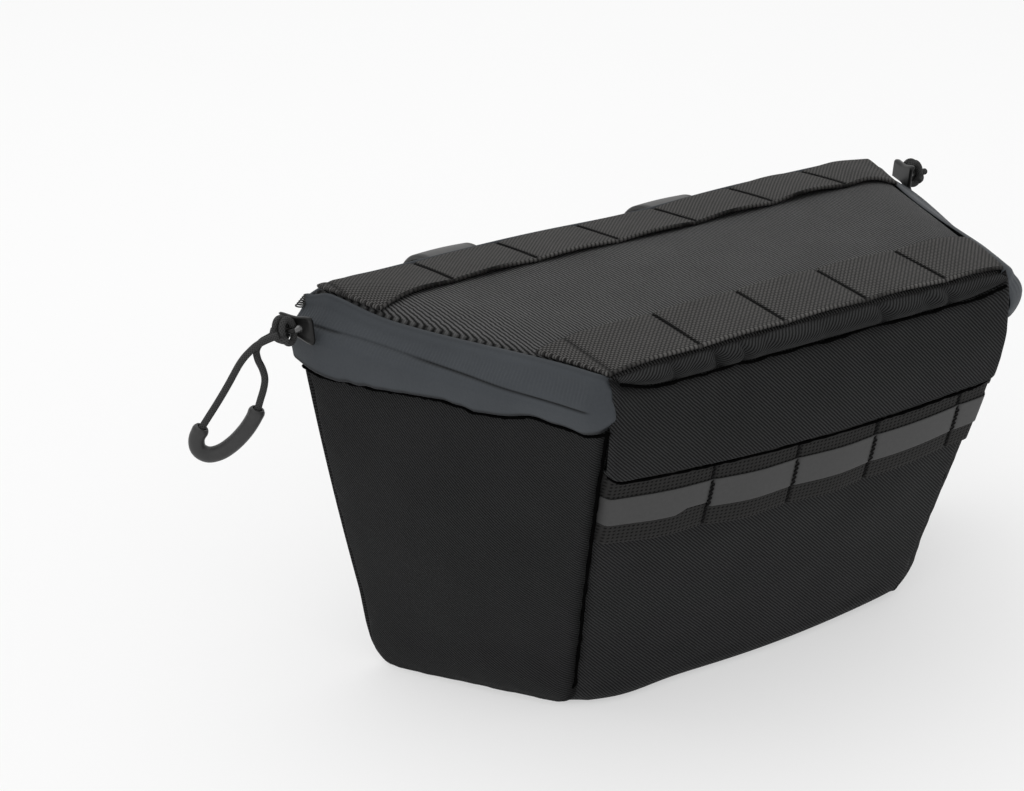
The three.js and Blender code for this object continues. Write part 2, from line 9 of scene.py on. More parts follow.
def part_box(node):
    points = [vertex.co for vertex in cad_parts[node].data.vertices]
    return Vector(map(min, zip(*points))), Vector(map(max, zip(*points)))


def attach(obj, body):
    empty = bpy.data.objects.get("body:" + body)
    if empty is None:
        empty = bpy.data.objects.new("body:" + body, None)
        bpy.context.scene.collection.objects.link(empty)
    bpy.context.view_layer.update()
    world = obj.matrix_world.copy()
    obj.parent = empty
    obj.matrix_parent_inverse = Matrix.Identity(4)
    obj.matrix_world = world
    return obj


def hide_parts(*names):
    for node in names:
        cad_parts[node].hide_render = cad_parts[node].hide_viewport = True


# The looks of a small padded handlebar bag. Sizes are in millimetres, in the same frame as the
# solids' source: y goes back from the front panel's top seam and z up from the seams at the foot.

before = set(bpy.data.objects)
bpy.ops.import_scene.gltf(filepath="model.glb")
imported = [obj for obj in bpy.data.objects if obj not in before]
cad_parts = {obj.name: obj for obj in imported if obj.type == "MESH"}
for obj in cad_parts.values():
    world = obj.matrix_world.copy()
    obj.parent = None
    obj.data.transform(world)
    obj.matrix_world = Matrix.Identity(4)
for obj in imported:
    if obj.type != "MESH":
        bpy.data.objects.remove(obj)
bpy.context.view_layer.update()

# Light
WORLD_STRENGTH = 0.829
FLOOR_HALF = 4.0
FLOOR_GLOW = 0.5
LIGHT_AIM = (0, 0, 0.06)
# Name, place and size in metres, power in watts
LAMPS = (
    ("top_light", (-0.1, 0.3, 1.2), 1.3, 3.45),
    ("left_light", (-1.3, -0.6, 0.9), 0.8, 1.184),
)

# Camera, fitted to the photograph
CAMERA_YAW = math.radians(-31.457)
CAMERA_PITCH = math.radians(24.2)
CAMERA_ROLL = math.radians(-1.0)
CAMERA_PLACE = (-446.3, -557.8, 422.0)
FOCAL_PIXELS = 2681.6
IMAGE_WIDTH = 1024
SENSOR = 36

# Body
BODY_TOP = 119.5
RIM_HEIGHT = 111.5
TOP_DEPTH = 113
FRONT_LEAN = 39
BACK_LEAN = 16
FRONT_TOP_HALF = 72.5
FRONT_BOTTOM_HALF = 61
BACK_TOP_HALF = 116
BACK_BOTTOM_HALF = 100
WALL = 3
FRONT_FOOT_RADIUS = 7
BACK_FOOT_RADIUS = 9
SEAM_GAP = 0.5
FRONT_FULLNESS = 5.5
FRONT_FULL_REACH = 60
END_FULLNESS = 6
FOOT_SAG = 2
FOOT_FLAT_SHARE = 0.88
CORNER_REACH = 12
CORNER_EASE_X = 1.5
CORNER_EASE_Y = 2
RIGHT_BOW = 7
RIGHT_BOW_START = 20
RIGHT_BOW_FOOT_SHARE = 0.45
RIGHT_BOW_FOOT_REACH = 14
LEFT_BOW = 1.4
FOOT_DROOP = 1.8
FOOT_BELLY = 2.2
FOOT_BELLY_HEIGHT = 6
FOOT_BELLY_DEPTH = 18
FOOT_CORNER = 3
FOOT_CORNER_X = -47
FOOT_SPREAD_START = 95
# Pleats under the roll: place, width and depth
PLEATS = ((-28.5, 1.6, 0.8), (-36, 1.8, 0.56))
PLEAT_REACH = 7
TOP_TUCK = 2.4
TOP_TUCK_WIDTH = 1.3
FOOT_TUCK_LOSS = 0.85
# One slanting crease low on the front panel's left
CREASE_PLACE = 96
CREASE_SLANT = 0.4
CREASE_DEPTH = 0.5
SEAM_TUCK = 2.6
SEAM_WIDTH = 1.5
# Width of the painted shade along seams, then how strong the fainter painted shade is along seams away
# from the front.
SEAM_SHADE = 1.2
FAINT_SEAM_SHADE = 0.3
SEAM_STRAY = 0.12
SEAM_PUCKER = 0.4
SEAM_PUCKER_PITCH = 3.2
SEAM_PUCKER_REACH = 5
SEAM_START = 14
SEAM_SUNK_LEFT = 0.1
SEAM_SUNK_RIGHT = 1.3
WRAP_COLUMNS = 150
# Loose cloth: height, pitch and seed of each layer of noise
FRONT_LOOSE = ((0.8, 38, 5), (0.3, 15, 6))
BACK_LOOSE = ((0.8, 40, 8),)
END_LOOSE = ((1.0, 45, 11), (0.35, 16, 12))
LID_LOOSE = ((0.35, 36, 21), (0.12, 12, 22))
TAPE_LOOSE = ((0.5, 17, 53),)
HEM_WAVES = ((0.9, 9, 51), (0.7, 22, 52), (0.35, 3.5, 54))
LID_WEBBING_UNEVEN = ((0.35, 24, 41),)
LID_WEBBING_EDGE = ((0.35, 22, 42),)
STRIP_UNEVEN = ((0.4, 21, 43),)
STRIP_EDGE = ((0.25, 18, 44),)
FRONT_LIFT = 3
FRONT_LIFT_START = 50
FRONT_LIFT_REACH = 12

# Lid and roll
LID_FRONT_Y = 4
LID_BACK_Y = 112
LID_PEAK_HEIGHT = 126.3
LID_PEAK_SHARE = 0.45
LID_FRONT_DROP = 1.5
LID_BACK_DROP = 4.5
LID_CROWN = 1
LID_SHOULDER_REACH = 16
LID_SHOULDER_DROP = 0.7
LID_SIDE_SAG = 3.2
LID_FRONT_HALF = 72
LID_BACK_HALF = 106.5
LID_THICKNESS = 3
LID_ROUNDING = 0.9
LID_HOLLOW = 1.3
LID_HOLLOW_X = 8
LID_HOLLOW_Y = 60
LID_CORNER_RISE = 1.8
LID_CORNER_Y = 78
ROLL_HALF = 68
ROLL_CLOTH_HALF = ROLL_HALF + 1.5
ROLL_CLOTH_PROUD = 2.2
ROLL_CORE = 0.45
ROLL_TURN = 2.3
ROLL_PLUMP = 0.12
ROLL_PUCKER = 0.22
# Creases of the roll: place, width and depth
ROLL_CREASES = (
    (-52, 1.5, 1.76),
    (-36.5, 1.3, 2.2),
    (-28.5, 1.4, 2.2),
    (22, 1.6, 1.54),
    (47, 1.5, 1.32),
)

# Webbing and band
WEBBING_WIDTH = 25
WEBBING_THICKNESS = 1.3
WEBBING_GAP = 0.4
TACK_PITCH = 29.7
TACK_WIDTH = 0.9
TACK_DEPTH = 0.35
TACK_STITCH = 0.85
TACK_SWAY = 0.55
TACK_THREAD = 0.28
FRONT_TACK_X = -10.6
BACK_TACK_X = -12.8
STRIP_TACK_X = -3.4
LID_ARCH = 0.8
BACK_WEBBING_INSET = 1.2
BACK_WEBBING_LIFT = 0.6
STRIP_TOP = 31.8
STRIP_TILT = 0.022
STRIP_ARCH = 0.6
POUCH_EDGE = 3.7
POUCH_LAP = 1.2
POUCH_CORNER = 7
BAND_MIDDLE = STRIP_TOP + WEBBING_WIDTH / 2
BAND_WIDTH = 10
BAND_THICKNESS = 0.4
KINK = 1.8
KINK_X = -45

# Zip tape
TAPE_GAP = 0.4
TAPE_THICKNESS = 1.3
TAPE_TIP_Y = 1
TAPE_START = 1.8
TAPE_FRONT_FOOT = 108
TAPE_BACK_FOOT = 99
TAPE_CORNER_RISE = 3.5
TAPE_CORNER_REACH = 18
TAPE_TOP_LAP = 0.6
TAPE_SAG = 1.6
TAPE_BULGE_LEFT = 2
TAPE_BULGE_RIGHT = 5.5
TAPE_TUCK = 2.6
TAPE_CORNER_DIP = 3.2
TAPE_DIP_REACH = 9
TAPE_CALM_REACH = 20
TAPE_LIP = 0.5
TAPE_TIP_REACH = 7
TAPE_TIP_DROP = 2.4
TAPE_TIP_RISE = 3
TAPE_TIP_ROUNDING = 2.2
TAPE_NOTCH = 1.6
TAPE_NOTCH_Y = 10
SLIT_FRONT = 113.2
SLIT_BACK = 113.8
SLIT_WIDTH = 0.34
SLIT_DEPTH = 0.5
SLIT_START = 5
SLIT_STOP = 107

# Sliders and pulls
SLIDER_LENGTH = 13
SLIDER_WIDTH = 8
SLIDER_WAIST = 5.5
SLIDER_THICKNESS = 2.2
SLIDER_FROM_CORNER_LEFT = 6
SLIDER_FROM_CORNER_RIGHT = 2.5
SLIDER_HEIGHT = 115
SLIDER_GAP = 1.2
BAIL_WIRE = 1.6
BAIL_SPAN = 5
BAIL_RISE = 2.6
BAIL_OFFSET = 1.5
CORD_DIAMETER = 2.2
LEFT_PULL_TURN = math.radians(31.5)
RIGHT_PULL_TURN = math.radians(75)
RIGHT_PULL_REACH = 1.2
GRIP_DIAMETER = 5
GRIP_BORE = 3.2
COIL_MIDDLE = 6.5
COIL_REACH = 5
COIL_TEETH = 6
COIL_FROM = (-107.2, 113.2, 119.4)
COIL_TO = (-110.2, 113.2, 116.8)
# The pull's route from the bail's middle: outwards from the corner, sideways and up
CORD_ROUTE = [
    (0, 1.4, 0),
    (2.0, 1.4, -0.9),
    (4.4, 1.3, -2.0),
    (6.6, 1.2, -3.3),
    (8.5, 1.1, -5.0),
    (10.5, 0.9, -7.2),
    (12.2, 0.6, -9.6),
    (13.9, 0.3, -12.6),
    (16.0, 0.1, -16.4),
    (18.5, 0, -20.6),
    (20.9, 0, -24.4),
    (23.1, 0, -27.8),
    (25.1, 0, -31.0),
    (26.6, 0, -34.2),
    (26.2, 0, -37.6),
    (23.4, 0, -39.4),
    (19.6, 0, -38.6),
    (15.8, 0, -36.0),
    (12.3, 0, -32.4),
    (9.6, 0, -28.6),
    (7.8, 0, -25.0),
    (6.6, 0, -21.4),
    (5.5, -0.2, -18.0),
    (5.0, -0.5, -14.8),
    (5.6, -0.8, -11.8),
    (6.8, -1.1, -8.9),
    (7.1, -1.3, -6.0),
    (5.6, -1.4, -3.4),
    (3.0, -1.4, -1.8),
    (0.4, -1.4, -0.2),
]
PULL_STEPS = 160
GRIP_FROM = 14 / 36
GRIP_TO = 26 / 36
GRIP_LIP = 0.12
GRIP_MOUTH = 0.45
# The hitch's two loops, each with its place along the bail and its height
HITCH_LOOPS = ((-1.5, 3.7), (1.3, 3.3))
HITCH_RADIUS = CORD_DIAMETER / 2 * 0.95
# The turn that holds them: along, outwards and up
HITCH_TURN = ((-2.9, 1.6, -2.2), (-1.8, 2.9, -1.8), (0, 3.5, -1.2), (1.8, 3.0, -0.4), (2.8, 1.6, 0.2))

# Handlebar straps and side tab
BAR_DIAMETER = 31.8
BAR_CLEARANCE = 0.3
STRAP_THICKNESS = 1.8
STRAP_WIDTH = 20
STRAP_LEFT_X = -46
STRAP_RIGHT_X = 40
STRAP_LEFT_SINK = 0.3
STRAP_RIGHT_SINK = 1.8
STRAP_RING_HEIGHT = 99.7
STRAP_STANDOFF = 4.5
STRAP_PATCH_LENGTH = 38
STRAP_GAP = 0.4
TAB_HEIGHT = 89.5
TAB_LENGTH = 15
TAB_REACH = 4
TAB_THICKNESS = 1.2


def place_of_frame():
    """The move from the source's frame to the row's, read off three nodes."""
    strap_low, strap_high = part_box("handlebar_strap_left")
    lid_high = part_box("lid")[1]
    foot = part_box("wrap_panel")[0]
    x = (strap_low[0] + strap_high[0]) * 500 - STRAP_LEFT_X
    return np.array([x, lid_high[1] * 1000 - LID_BACK_Y, foot[2] * 1000 + FOOT_SAG])


SHIFT = place_of_frame()


def to_row(points):
    """Points of the source's frame in metres of the row's frame."""
    return (np.asarray(points, float) + SHIFT) * 0.001


def lerp(a, b, t):
    return a + (b - a) * t


def clamp(value, low=0.0, high=1.0):
    return np.clip(value, low, high)


def smooth(value):
    value = clamp(value)
    return value * value * (3 - 2 * value)


def bump_at(value, middle, width):
    return np.exp(-(((value - middle) / width) ** 2))


def bumps_at(value, bumps):
    """Several bumps, each given by its place, width and height."""
    return sum(height * bump_at(value, middle, width) for middle, width, height in bumps)


def unit(vectors):
    return vectors / np.linalg.norm(vectors, axis=-1, keepdims=True)


def run_along(points):
    """Length of a line of points up to each of them."""
    return np.concatenate([[0], np.cumsum(np.linalg.norm(np.diff(points, axis=0), axis=1))])


def noise(u, v, pitch, seed):
    """Smooth noise between -1 and 1 over a sheet, with lumps about pitch wide."""
    table = np.random.RandomState(seed).uniform(-1, 1, (64, 64))
    a, b = np.broadcast_arrays(np.asarray(u, float) / pitch + 31, np.asarray(v, float) / pitch + 31)
    i, j = np.floor(a).astype(int), np.floor(b).astype(int)
    s, t = smooth(a - i), smooth(b - j)
    near = lerp(table[i % 64, j % 64], table[(i + 1) % 64, j % 64], s)
    far = lerp(table[i % 64, (j + 1) % 64], table[(i + 1) % 64, (j + 1) % 64], s)
    return lerp(near, far, t)


def loose_cloth(u, v, layers):
    """Several layers of noise, each given by its height, pitch and seed."""
    return sum(height * noise(u, v, pitch, seed) for height, pitch, seed in layers)


def bunched(share, amount):
    """Places from 0 to 1, moved towards both ends, where the cloth bends most."""
    return lerp(share, np.sin((share - 0.5) * math.pi) / 2 + 0.5, amount)


# Outlines of the body, as in the solids' source


def settle(x, z):
    """How far the filled bag leans out sideways at x and z."""
    share = clamp((x - RIGHT_BOW_START) / (FRONT_TOP_HALF - RIGHT_BOW_START))
    height = clamp(z / BODY_TOP)
    near_foot = 1 - clamp(z / RIGHT_BOW_FOOT_REACH)
    foot = 1 - (1 - RIGHT_BOW_FOOT_SHARE) * near_foot**2
    left = LEFT_BOW * smooth(-x / BACK_BOTTOM_HALF) * np.sin(math.pi * height)
    return RIGHT_BOW * smooth(share) * (1 - height**5) * foot - left


def settled(points):
    """Points moved sideways with the bag's lean."""
    points = np.asarray(points, float).copy()
    points[..., 0] += settle(points[..., 0], points[..., 2])
    return points


def leant(x, y, z):
    """A grid of points, moved sideways with the bag's lean."""
    return settled(np.stack(np.broadcast_arrays(x, y, z), axis=-1))


def wall_y(side, z, inset=0.0):
    lean = FRONT_LEAN if side == "front" else BACK_LEAN
    slant = math.hypot(lean, BODY_TOP) / BODY_TOP
    run = lean * (1 - z / BODY_TOP) + inset * slant
    return run if side == "front" else TOP_DEPTH - run


def edge_y(side, z, inset):
    """Depth of a panel's edge at height z, with the foot's rounding."""
    lean = FRONT_LEAN if side == "front" else BACK_LEAN
    radius = FRONT_FOOT_RADIUS if side == "front" else BACK_FOOT_RADIUS
    turn = math.atan2(BODY_TOP, lean)
    small = radius - inset
    cosine = clamp((radius - z) / small, -1, 1)
    foot = lean + radius * math.tan(turn / 2)
    run = foot - small * np.sin(np.arccos(cosine))
    round_part = run if side == "front" else TOP_DEPTH - run
    return np.where(cosine < math.cos(turn), wall_y(side, z, inset), round_part)


def end_x(y, z):
    t = 1 - z / BODY_TOP
    front, back = wall_y("front", z), wall_y("back", z)
    near = lerp(FRONT_TOP_HALF, FRONT_BOTTOM_HALF, t)
    far = lerp(BACK_TOP_HALF, BACK_BOTTOM_HALF, t)
    ease = clamp((y - back + CORNER_REACH) / CORNER_REACH, 0, 1.2)
    return lerp(near, far, (y - front) / (back - front)) - CORNER_EASE_X * ease * ease


def end_swell(y, z):
    """Fullness of the end panels."""
    front, back = wall_y("front", z), wall_y("back", z)
    u = clamp((y - front) / (back - front))
    v = clamp(z / RIM_HEIGHT)
    return END_FULLNESS * 4 * u * (1 - u) * np.sin(math.pi * v) ** 0.8


END_SLANT = math.hypot(
    math.hypot(1, (BACK_TOP_HALF - FRONT_TOP_HALF) / TOP_DEPTH),
    (BACK_TOP_HALF - BACK_BOTTOM_HALF) / BODY_TOP,
)
SLOPE_LENGTH = math.hypot(FRONT_LEAN, BODY_TOP)
SLOPE_Y = FRONT_LEAN / SLOPE_LENGTH
SLOPE_Z = BODY_TOP / SLOPE_LENGTH


def back_ease(x, half):
    ease = clamp((np.abs(x) - half + CORNER_REACH) / CORNER_REACH)
    return CORNER_EASE_Y * ease * ease


def front_half(s):
    """Half the front panel's width, s down its slope."""
    return end_x(s * SLOPE_Y, BODY_TOP - s * SLOPE_Z)


def front_inwards(x, s):
    """How far a place on the front panel lies in from its side seam."""
    return clamp(front_half(s) - np.abs(x), 0, 100)


def front_fullness(x, s):
    """Fullness of the front panel, s down its slope."""
    half = front_half(s)
    across = clamp(1 - (x / half) ** 2)
    spread = smooth((s - FOOT_SPREAD_START) / 25) * clamp((half - np.abs(x)) / 5)
    corner = FOOT_CORNER * bump_at(x, FOOT_CORNER_X, 15) * spread
    return FRONT_FULLNESS * across * np.sin(math.pi / 2 * clamp(s / FRONT_FULL_REACH)) + corner


def front_point(x, s, out):
    """A point out from the front panel's plane, s down its slope."""
    y = s * SLOPE_Y - out * SLOPE_Z
    z = BODY_TOP - s * SLOPE_Z - out * SLOPE_Y
    return np.stack(np.broadcast_arrays(x, y, z), axis=-1)


def front_rise(x):
    share = clamp((np.abs(x) - FRONT_LIFT_START) / (FRONT_TOP_HALF - FRONT_LIFT_START), 0, 1.1)
    return FRONT_LIFT * share * share


def lid_share(y):
    return (y - LID_FRONT_Y) / (LID_BACK_Y - LID_FRONT_Y)


def lid_half(y):
    return lerp(LID_FRONT_HALF, LID_BACK_HALF, lid_share(y))


def lid_side_dip(y):
    return np.sin(math.pi * clamp(lid_share(y)) ** 1.4)


def lid_top(x, y):
    share = lid_share(y) - LID_PEAK_SHARE
    drop = np.where(share < 0, LID_FRONT_DROP, LID_BACK_DROP)
    reach = np.where(share < 0, LID_PEAK_SHARE, 1 - LID_PEAK_SHARE)
    half = lid_half(y)
    inwards = clamp((half - np.abs(x)) / LID_SHOULDER_REACH)
    shoulder = (LID_SHOULDER_DROP + LID_SIDE_SAG * lid_side_dip(y)) * (1 - inwards) ** 2
    hollow = LID_HOLLOW * bump_at(x, LID_HOLLOW_X, 28) * smooth((y - LID_HOLLOW_Y) / 40)
    corner = LID_CORNER_RISE * bump_at(x, -LID_BACK_HALF, 12) * smooth((y - LID_CORNER_Y) / 24)
    crown = LID_CROWN * (x / half) ** 2
    return LID_PEAK_HEIGHT - drop * (share / reach) ** 2 - crown - shoulder - hollow + corner


def tape_foot(y):
    climb = clamp(1 - (LID_BACK_Y - y) / TAPE_CORNER_REACH)
    return lerp(TAPE_FRONT_FOOT, TAPE_BACK_FOOT, clamp(y / TOP_DEPTH)) + TAPE_CORNER_RISE * climb**2


# Mesh building


def flat_place(along, across):
    """Places on the flat cloth, which the weaves are drawn by."""
    return np.stack(np.broadcast_arrays(along, across), axis=-1)


def mesh_piece(name, verts, faces, material, uv=None, painted_shade=None):
    """A smooth closed mesh from points of the source's frame, riding on the root."""
    mesh = bpy.data.meshes.new(name)
    mesh.from_pydata(to_row(verts).tolist(), [], faces)
    piece = bpy.data.objects.new(name, mesh)
    bpy.context.collection.objects.link(piece)
    if uv is not None:
        layer = mesh.uv_layers.new(name="Cloth")
        corners = np.zeros(len(mesh.loops), int)
        mesh.loops.foreach_get("vertex_index", corners)
        layer.data.foreach_set("uv", np.asarray(uv, float)[corners].ravel())
    # Painted shade: a value at each point that darkens the colour there, at seams, gaps and dents.
    if painted_shade is not None:
        layer = mesh.attributes.new("painted_shade", "FLOAT", "POINT")
        layer.data.foreach_set("value", np.asarray(painted_shade, float).ravel())
    build = bmesh.new()
    build.from_mesh(mesh)
    bmesh.ops.recalc_face_normals(build, faces=build.faces)
    build.to_mesh(mesh)
    build.free()
    mesh.polygons.foreach_set("use_smooth", [True] * len(mesh.polygons))
    mesh.materials.append(material)
    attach(piece, "root")
    return piece


def joined_piece(name, parts, material):
    """One piece from several (verts, faces, uv) parts."""
    verts, faces, uvs = [], [], []
    for part_verts, part_faces, part_uv in parts:
        start = sum(len(v) for v in verts)
        verts.append(part_verts)
        faces += [[i + start for i in face] for face in part_faces]
        uvs.append(part_uv)
    return mesh_piece(name, np.concatenate(verts), faces, material, np.concatenate(uvs))


def shell_part(top, bottom, uv, painted_shade=None, round_steps=3, proud=1.0):
    """A sheet between two grids of points, its rim rounded outwards by proud half thicknesses."""
    rows, cols = top.shape[:2]
    cell = np.arange(rows * cols).reshape(rows, cols)
    rim = np.concatenate([cell[0, :-1], cell[:-1, -1], cell[-1, :0:-1], cell[:0:-1, 0]])
    r, c = rim // cols, rim % cols
    inner = top[np.clip(r, 1, rows - 2), np.clip(c, 1, cols - 2)]
    away = top[r, c] - inner
    away = away / np.maximum(np.linalg.norm(away, axis=1, keepdims=True), 1e-9)
    half = (top[r, c] - bottom[r, c]) / 2
    middle = (top[r, c] + bottom[r, c]) / 2
    reach = np.linalg.norm(half, axis=1, keepdims=True) * proud
    verts = [top.reshape(-1, 3), bottom.reshape(-1, 3)]
    flat_uv = uv.reshape(-1, 2)
    uvs = [flat_uv, flat_uv]
    # Painted shade lies on the outer face and its rounded rim; the inner face gets none.
    painted_shade_flat = np.zeros(rows * cols) if painted_shade is None else np.broadcast_to(painted_shade, (rows, cols)).ravel()
    painted_shade_layers = [painted_shade_flat, np.zeros(rows * cols)]
    for k in range(1, round_steps):
        angle = math.pi * k / round_steps
        verts.append(middle + half * math.cos(angle) + away * reach * math.sin(angle))
        uvs.append(flat_uv[rim])
        painted_shade_layers.append(painted_shade_flat[rim])
    count = len(rim)
    a = cell[:-1, :-1].ravel()
    b = cell[:-1, 1:].ravel()
    d = cell[1:, :-1].ravel()
    e = cell[1:, 1:].ravel()
    faces = np.stack([a, b, e, d], axis=1).tolist()
    faces += (np.stack([a, d, e, b], axis=1) + rows * cols).tolist()
    rings = [rim]
    for k in range(1, round_steps):
        rings.append(2 * rows * cols + (k - 1) * count + np.arange(count))
    rings.append(rim + rows * cols)
    for upper, lower in zip(rings, rings[1:]):
        faces += np.stack([upper, lower, np.roll(lower, -1), np.roll(upper, -1)], axis=1).tolist()
    return np.concatenate(verts), faces, np.concatenate(uvs), np.concatenate(painted_shade_layers)


def shell(name, node, top, bottom, uv, material, slot, painted_shade=None, round_steps=3, proud=1.0):
    """A sheet of cloth that stands for one node of the frame."""
    verts, faces, uvs, painted_shade_layers = shell_part(top, bottom, uv, painted_shade, round_steps, proud)
    piece = mesh_piece(name, verts, faces, material, uvs, painted_shade_layers)
    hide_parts(node)
    return piece


def curve_frames(path):
    """Tangents and two steady cross directions along a path of points."""
    tangents = unit(np.gradient(path, axis=0))
    start = np.eye(3)[np.argmin(np.abs(tangents[0]))]
    side = np.cross(tangents[0], start)
    sides = []
    for tangent in tangents:
        side = unit(side - tangent * side.dot(tangent))
        sides.append(side)
    sides = np.array(sides)
    return tangents, sides, np.cross(tangents, sides)


def ring_spread(angles, a, b):
    """Directions round each point of a path, from its two cross directions."""
    return np.cos(angles)[None, :, None] * a[:, None] + np.sin(angles)[None, :, None] * b[:, None]


def ring_faces(count, sides, last):
    """Faces from each ring of points up to the last to the next ring, round to the first."""
    faces = []
    for i in range(last):
        for j in range(sides):
            n, k = (i + 1) % count, (j + 1) % sides
            faces.append([i * sides + j, i * sides + k, n * sides + k, n * sides + j])
    return faces


def tube_part(path, radius, sides=12, bore=None):
    """A closed tube along a path. With bore, an inner tube of that radius makes it hollow."""
    path = np.asarray(path, float)
    radius = np.broadcast_to(radius, len(path))
    _, a, b = curve_frames(path)
    angles = np.arange(sides) * 2 * math.pi / sides
    spread = ring_spread(angles, a, b)
    rings = [path[i] + spread[i] * radius[i] for i in range(len(path))]
    if bore is not None:
        rings += [path[i] + spread[i] * bore for i in reversed(range(len(path)))]
    count = len(rings)
    verts = np.concatenate(rings)
    length = run_along(verts[::sides])
    around = angles * float(radius.mean())
    uv = flat_place(length[:, None], around[None, :]).reshape(-1, 2)
    faces = ring_faces(count, sides, count if bore is not None else count - 1)
    if bore is None:
        faces.append(list(range(sides))[::-1])
        faces.append([(count - 1) * sides + j for j in range(sides)])
    return verts, faces, uv


def smooth_path(points, count):
    """Evenly spaced points on a smooth curve through the given ones."""
    points = np.asarray(points, float)
    padded = np.concatenate([[2 * points[0] - points[1]], points, [2 * points[-1] - points[-2]]])
    fine = []
    for i in range(len(points) - 1):
        p0, p1, p2, p3 = padded[i : i + 4]
        for t in np.arange(0, 1, 0.05):
            bend = 2 * p1 + (p2 - p0) * t + (2 * p0 - 5 * p1 + 4 * p2 - p3) * t**2
            fine.append((bend + (3 * p1 - p0 - 3 * p2 + p3) * t**3) / 2)
    fine = np.array([*fine, points[-1]])
    run = run_along(fine)
    wanted = np.linspace(0, run[-1], count)
    return np.stack([np.interp(wanted, run, fine[:, k]) for k in range(3)], axis=1)


# Materials


class Shader:
    """A Principled material with a few shortcuts for building its nodes."""

    def __init__(self, name, roughness, metallic=0.0, sheen=0.0, specular=0.5, coat=0.0):
        self.material = bpy.data.materials.new(name)
        self.material.use_nodes = True
        self.tree = self.material.node_tree
        self.shader = self.tree.nodes["Principled BSDF"]
        self.shader.inputs["Roughness"].default_value = roughness
        self.shader.inputs["Metallic"].default_value = metallic
        self.shader.inputs["Specular IOR Level"].default_value = specular
        self.shader.inputs["Sheen Weight"].default_value = sheen
        self.shader.inputs["Sheen Roughness"].default_value = 0.5
        self.shader.inputs["Coat Weight"].default_value = coat

    def node(self, kind, **values):
        made = self.tree.nodes.new(kind)
        for key, value in values.items():
            setattr(made, key, value)
        return made

    def feed(self, socket, value):
        if isinstance(value, (int, float, tuple)):
            socket.default_value = value
        else:
            self.tree.links.new(value, socket)

    def math(self, operation, a, b=0.0, c=0.0):
        made = self.node("ShaderNodeMath", operation=operation)
        for socket, value in zip(made.inputs, (a, b, c)):
            self.feed(socket, value)
        return made.outputs[0]

    def cloth_place(self):
        """The place on the flat cloth in millimetres, along and across."""
        made = self.node("ShaderNodeUVMap", uv_map="Cloth")
        split = self.node("ShaderNodeSeparateXYZ")
        self.tree.links.new(made.outputs[0], split.inputs[0])
        return split.outputs[0], split.outputs[1]

    def noise(self, scale, detail=2.0, roughness=0.5):
        """Noise between 0 and 1; scale is in lumps a metre."""
        where = self.node("ShaderNodeTexCoord")
        made = self.node("ShaderNodeTexNoise")
        made.inputs["Scale"].default_value = scale
        made.inputs["Detail"].default_value = detail
        made.inputs["Roughness"].default_value = roughness
        self.tree.links.new(where.outputs["Object"], made.inputs["Vector"])
        return made.outputs[0]

    def wave(self, value, pitch):
        """A wave between 0 and 1 that repeats each pitch."""
        turned = self.math("MULTIPLY", value, 2 * math.pi / pitch)
        return self.math("MULTIPLY_ADD", self.math("SINE", turned), 0.5, 0.5)

    def mix(self, factor, a, b):
        made = self.node("ShaderNodeMix", data_type="RGBA")
        self.feed(made.inputs["Factor"], factor)
        self.feed(made.inputs[6], a)
        self.feed(made.inputs[7], b)
        return made.outputs[2]

    def with_painted_shade(self, colour, amount=0.9):
        """Painted shade: darkens a colour towards near black where the piece's painted shade value is
        high.
        """
        made = self.node("ShaderNodeAttribute", attribute_name="painted_shade")
        factor = self.math("MULTIPLY", made.outputs["Fac"], amount)
        return self.mix(factor, colour, (0.002, 0.002, 0.002, 1))

    def colour(self, value):
        self.feed(self.shader.inputs["Base Color"], value)

    def bump(self, height, depth_mm, strength=1.0):
        made = self.node("ShaderNodeBump")
        made.inputs["Distance"].default_value = depth_mm * 0.001
        made.inputs["Strength"].default_value = strength
        self.tree.links.new(height, made.inputs["Height"])
        self.tree.links.new(made.outputs[0], self.shader.inputs["Normal"])


def grey(level, warm=0.0):
    return (level * (1 + warm), level, level * (1 - warm), 1.0)


def twill_material(name, pitch, lean, dark, light):
    """Twill: diagonal ridges with the threads crossing them."""
    s = Shader(name, 0.9, sheen=0.02, specular=0.1)
    along, across = s.cloth_place()
    wobble = s.math("MULTIPLY", s.noise(900.0), 0.35)
    diagonal = s.math("ADD", along, s.math("MULTIPLY", across, lean))
    ridge = s.wave(s.math("ADD", diagonal, wobble), pitch * math.hypot(1, lean))
    thread = s.wave(s.math("SUBTRACT", along, s.math("MULTIPLY", across, lean)), pitch * 0.9)
    height = s.math("MULTIPLY", ridge, s.math("MULTIPLY_ADD", thread, 0.35, 0.65))
    patchy = s.math("MULTIPLY_ADD", s.noise(60.0, 4.0), 0.5, 0.75)
    factor = s.math("MULTIPLY", s.math("MULTIPLY", height, patchy), 1.1)
    s.colour(s.with_painted_shade(s.mix(factor, grey(dark, -0.02), grey(light, -0.02))))
    s.bump(height, 0.22)
    return s.material


def rib_material(name, pitch, dark, light):
    """Ribbed cloth with its ribs running across the sheet."""
    s = Shader(name, 0.9, sheen=0.02, specular=0.1)
    along, across = s.cloth_place()
    wobble = s.math("MULTIPLY", s.noise(500.0), 0.6)
    ridge = s.wave(s.math("ADD", along, wobble), pitch)
    thread = s.wave(across, pitch * 0.8)
    height = s.math("MULTIPLY", ridge, s.math("MULTIPLY_ADD", thread, 0.3, 0.7))
    patchy = s.math("MULTIPLY_ADD", s.noise(60.0, 4.0), 0.4, 0.8)
    factor = s.math("MULTIPLY", height, patchy)
    s.colour(s.with_painted_shade(s.mix(factor, grey(dark), grey(light))))
    s.bump(height, 0.18)
    return s.material


